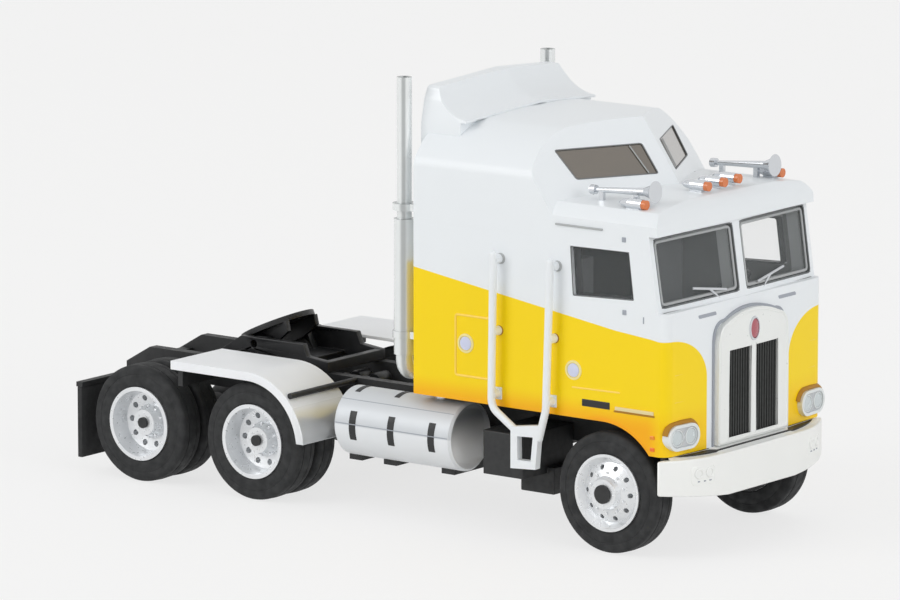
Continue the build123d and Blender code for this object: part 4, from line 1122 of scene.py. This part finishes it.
# Wheels: half a tyre's section from the outer bead to the tread's middle, as (along, radius)
TYRE_SECTION = (
    (-0.20, 3.72), (-0.03, 3.86), (0.0, 4.10), (0.0, 4.98), (-0.03, 5.02), (0.0, 5.06),
    (-0.01, 5.40), (-0.04, 5.64), (-0.12, 5.82), (-0.26, 5.92), (-0.42, 5.95), (-0.78, 5.96),
    (-0.78, 5.84), (-0.86, 5.84), (-0.86, 5.97), (-TYRE_WIDTH / 2, 5.99),
)
WHEEL_BACK_ROWS = ((0.05, 0.8), (-0.12, 0.8), (-0.2, 1.2), (-0.2, 3.3), (-0.05, 3.72), (0.05, 3.72))
# Distance of the outer tyre's face from the middle plane, and between the faces of a twin pair
FRONT_FACE = 12.9
DRIVE_FACE = 14.6
TWIN_PITCH = 3.25
# Rings of nuts: distance out from that face, pitch radius, count, size, height and first turn
FRONT_NUTS = ((0.02, 2.02, 10, 0.14, 0.2, 0.31), (0.72, 1.18, 8, 0.08, 0.08, 0.0))
DRIVE_NUTS = ((-1.7, 1.62, 10, 0.14, 0.32, 0.31), (-0.78, 0.92, 8, 0.09, 0.1, 0.0))
DRIVE_FACES = (DRIVE_FACE, DRIVE_FACE - TWIN_PITCH)
AXLES = (
    ("front", 0.0, "front_wheels", (FRONT_FACE,), FRONT_NUTS),
    ("drive1", DRIVE_X[0], "drive_wheels_1", DRIVE_FACES, DRIVE_NUTS),
    ("drive2", DRIVE_X[1], "drive_wheels_2", DRIVE_FACES, DRIVE_NUTS),
)


def nuts(shape, x, side, face, pitch, count, size, height, first_turn):
    """A ring of six-sided nuts standing on a disc."""
    for k in range(count):
        turn = first_turn + 2 * math.pi * k / count
        cx = x + pitch * math.cos(turn)
        cz = TYRE_R + pitch * math.sin(turn)
        outline = []
        for i in range(6):
            a = math.pi * i / 3 + turn
            outline.append((cx + size * math.cos(a), side * face, cz + size * math.sin(a)))
        shape.prism(outline, (0, side * height, 0))


def build_wheels(name, x, body, faces, nut_rings):
    """The tyres of one axle, which stand for the solid ones, with wheel backs and nuts."""
    mirrored = [(-TYRE_WIDTH - along, radius) for along, radius in reversed(TYRE_SECTION[:-1])]
    tyres = Shape()
    backs = Shape()
    bolts = Shape()
    for s in SIDES:
        for face in faces:
            tyres.ring((*TYRE_SECTION, *mirrored), outboard(x, face, TYRE_R, s), count=96)
        inner_face = outboard(x, faces[-1] - TYRE_WIDTH, TYRE_R, s)
        backs.ring(WHEEL_BACK_ROWS, inner_face, count=40)
        for out, *ring in nut_rings:
            nuts(bolts, x, s, faces[0] + out, *ring)
    o = tyres.make(f"{name}_treaded_tyres", rubber, body=body, slot="tyre_rubber", smooth=38)
    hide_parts(f"{name}_tyres")
    backs.make(f"{name}_wheel_backs", black, body=body, slot="black_plastic", smooth=40)
    bolts.make(f"{name}_wheel_nuts", chrome_grain, body=body, slot="wheel_chrome", bevel=0.03)


for axle in AXLES:
    build_wheels(*axle)


# Floor, backdrop and light; these lengths are in metres
FLOOR_REACH = 6.0
SWEEP_START = 2.4
SWEEP_R = 0.6
SWEEP_STEPS = 12
WALL_TOP = 5.0
FLOOR_GLOW = 0.78
WORLD_LIGHT = 0.65
LIGHT_AIM = Vector((0.0, 0.0, 0.02))


def floor_look():
    """Pale floor; what the camera sees of it is mostly an even glow, so shadows stay faint."""
    m, g, shader, _ = new_material("floor")
    shader.inputs["Base Color"].default_value = (*lin(238, 238, 237), 1)
    shader.inputs["Roughness"].default_value = 0.6
    glow = g.node("ShaderNodeEmission")
    glow.inputs[0].default_value = (*lin(249, 249, 249), 1)
    share = g.math("MULTIPLY", g.seen_share(), FLOOR_GLOW)
    out = m.node_tree.nodes["Material Output"]
    g.fill(out, g.blend(share, shader.outputs[0], glow.outputs[0]))
    return m


def build_stage():
    """A floor that sweeps up into a wall behind the model, as the camera looks."""
    profile = [(-FLOOR_REACH, 0.0)]
    for k in range(SWEEP_STEPS + 1):
        a = math.pi / 2 * k / SWEEP_STEPS
        profile.append((SWEEP_START + SWEEP_R * math.sin(a), SWEEP_R - SWEEP_R * math.cos(a)))
    profile.append((SWEEP_START + SWEEP_R, WALL_TOP))
    toward = Vector((-camera_back.x, -camera_back.y, 0)).normalized()
    across = Vector((-toward.y, toward.x, 0))
    verts = []
    for d, h in profile:
        for w in (-FLOOR_REACH, FLOOR_REACH):
            verts.append(toward * d + across * w + Vector((0, 0, h)))
    faces = [(2 * i, 2 * i + 1, 2 * i + 3, 2 * i + 2) for i in range(len(profile) - 1)]
    mesh = bpy.data.meshes.new("floor")
    mesh.from_pydata(verts, [], faces)
    floor = bpy.data.objects.new("floor", mesh)
    bpy.context.scene.collection.objects.link(floor)
    mesh.shade_smooth()
    mesh.materials.append(floor_look())


def build_world():
    """White light all round, seen as a pale grey that brightens upward."""
    world = bpy.data.worlds.new("studio")
    bpy.context.scene.world = world
    world.use_nodes = True
    g = Graph(world.node_tree)
    light = g.fill(world.node_tree.nodes["Background"], (*lin(255, 255, 255), 1), WORLD_LIGHT)
    height = g.split(g.node("ShaderNodeTexCoord").outputs["Generated"])[2]
    rise = g.step(height, -0.1, 0.7)
    shown = g.fill(g.node("ShaderNodeBackground"), g.mix(rise, lin(238, 238, 238), lin(250, 250, 250)))
    out = world.node_tree.nodes["World Output"]
    g.fill(out, g.blend(g.seen_share(), light.outputs[0], shown.outputs[0]))


def area_light(name, place, size, power):
    data = bpy.data.lights.new(name, "AREA")
    data.shape = "RECTANGLE"
    data.size = size[0]
    data.size_y = size[1]
    data.energy = power
    o = bpy.data.objects.new(name, data)
    bpy.context.scene.collection.objects.link(o)
    o.location = place
    o.rotation_mode = "QUATERNION"
    o.rotation_quaternion = (LIGHT_AIM - Vector(place)).to_track_quat("-Z", "Y")


build_stage()
build_world()
area_light("key_light", place=(-0.42, -0.72, 0.48), size=(0.5, 0.45), power=2.7)
area_light("front_light", place=(0.85, -0.1, 0.35), size=(0.5, 0.5), power=1.9)
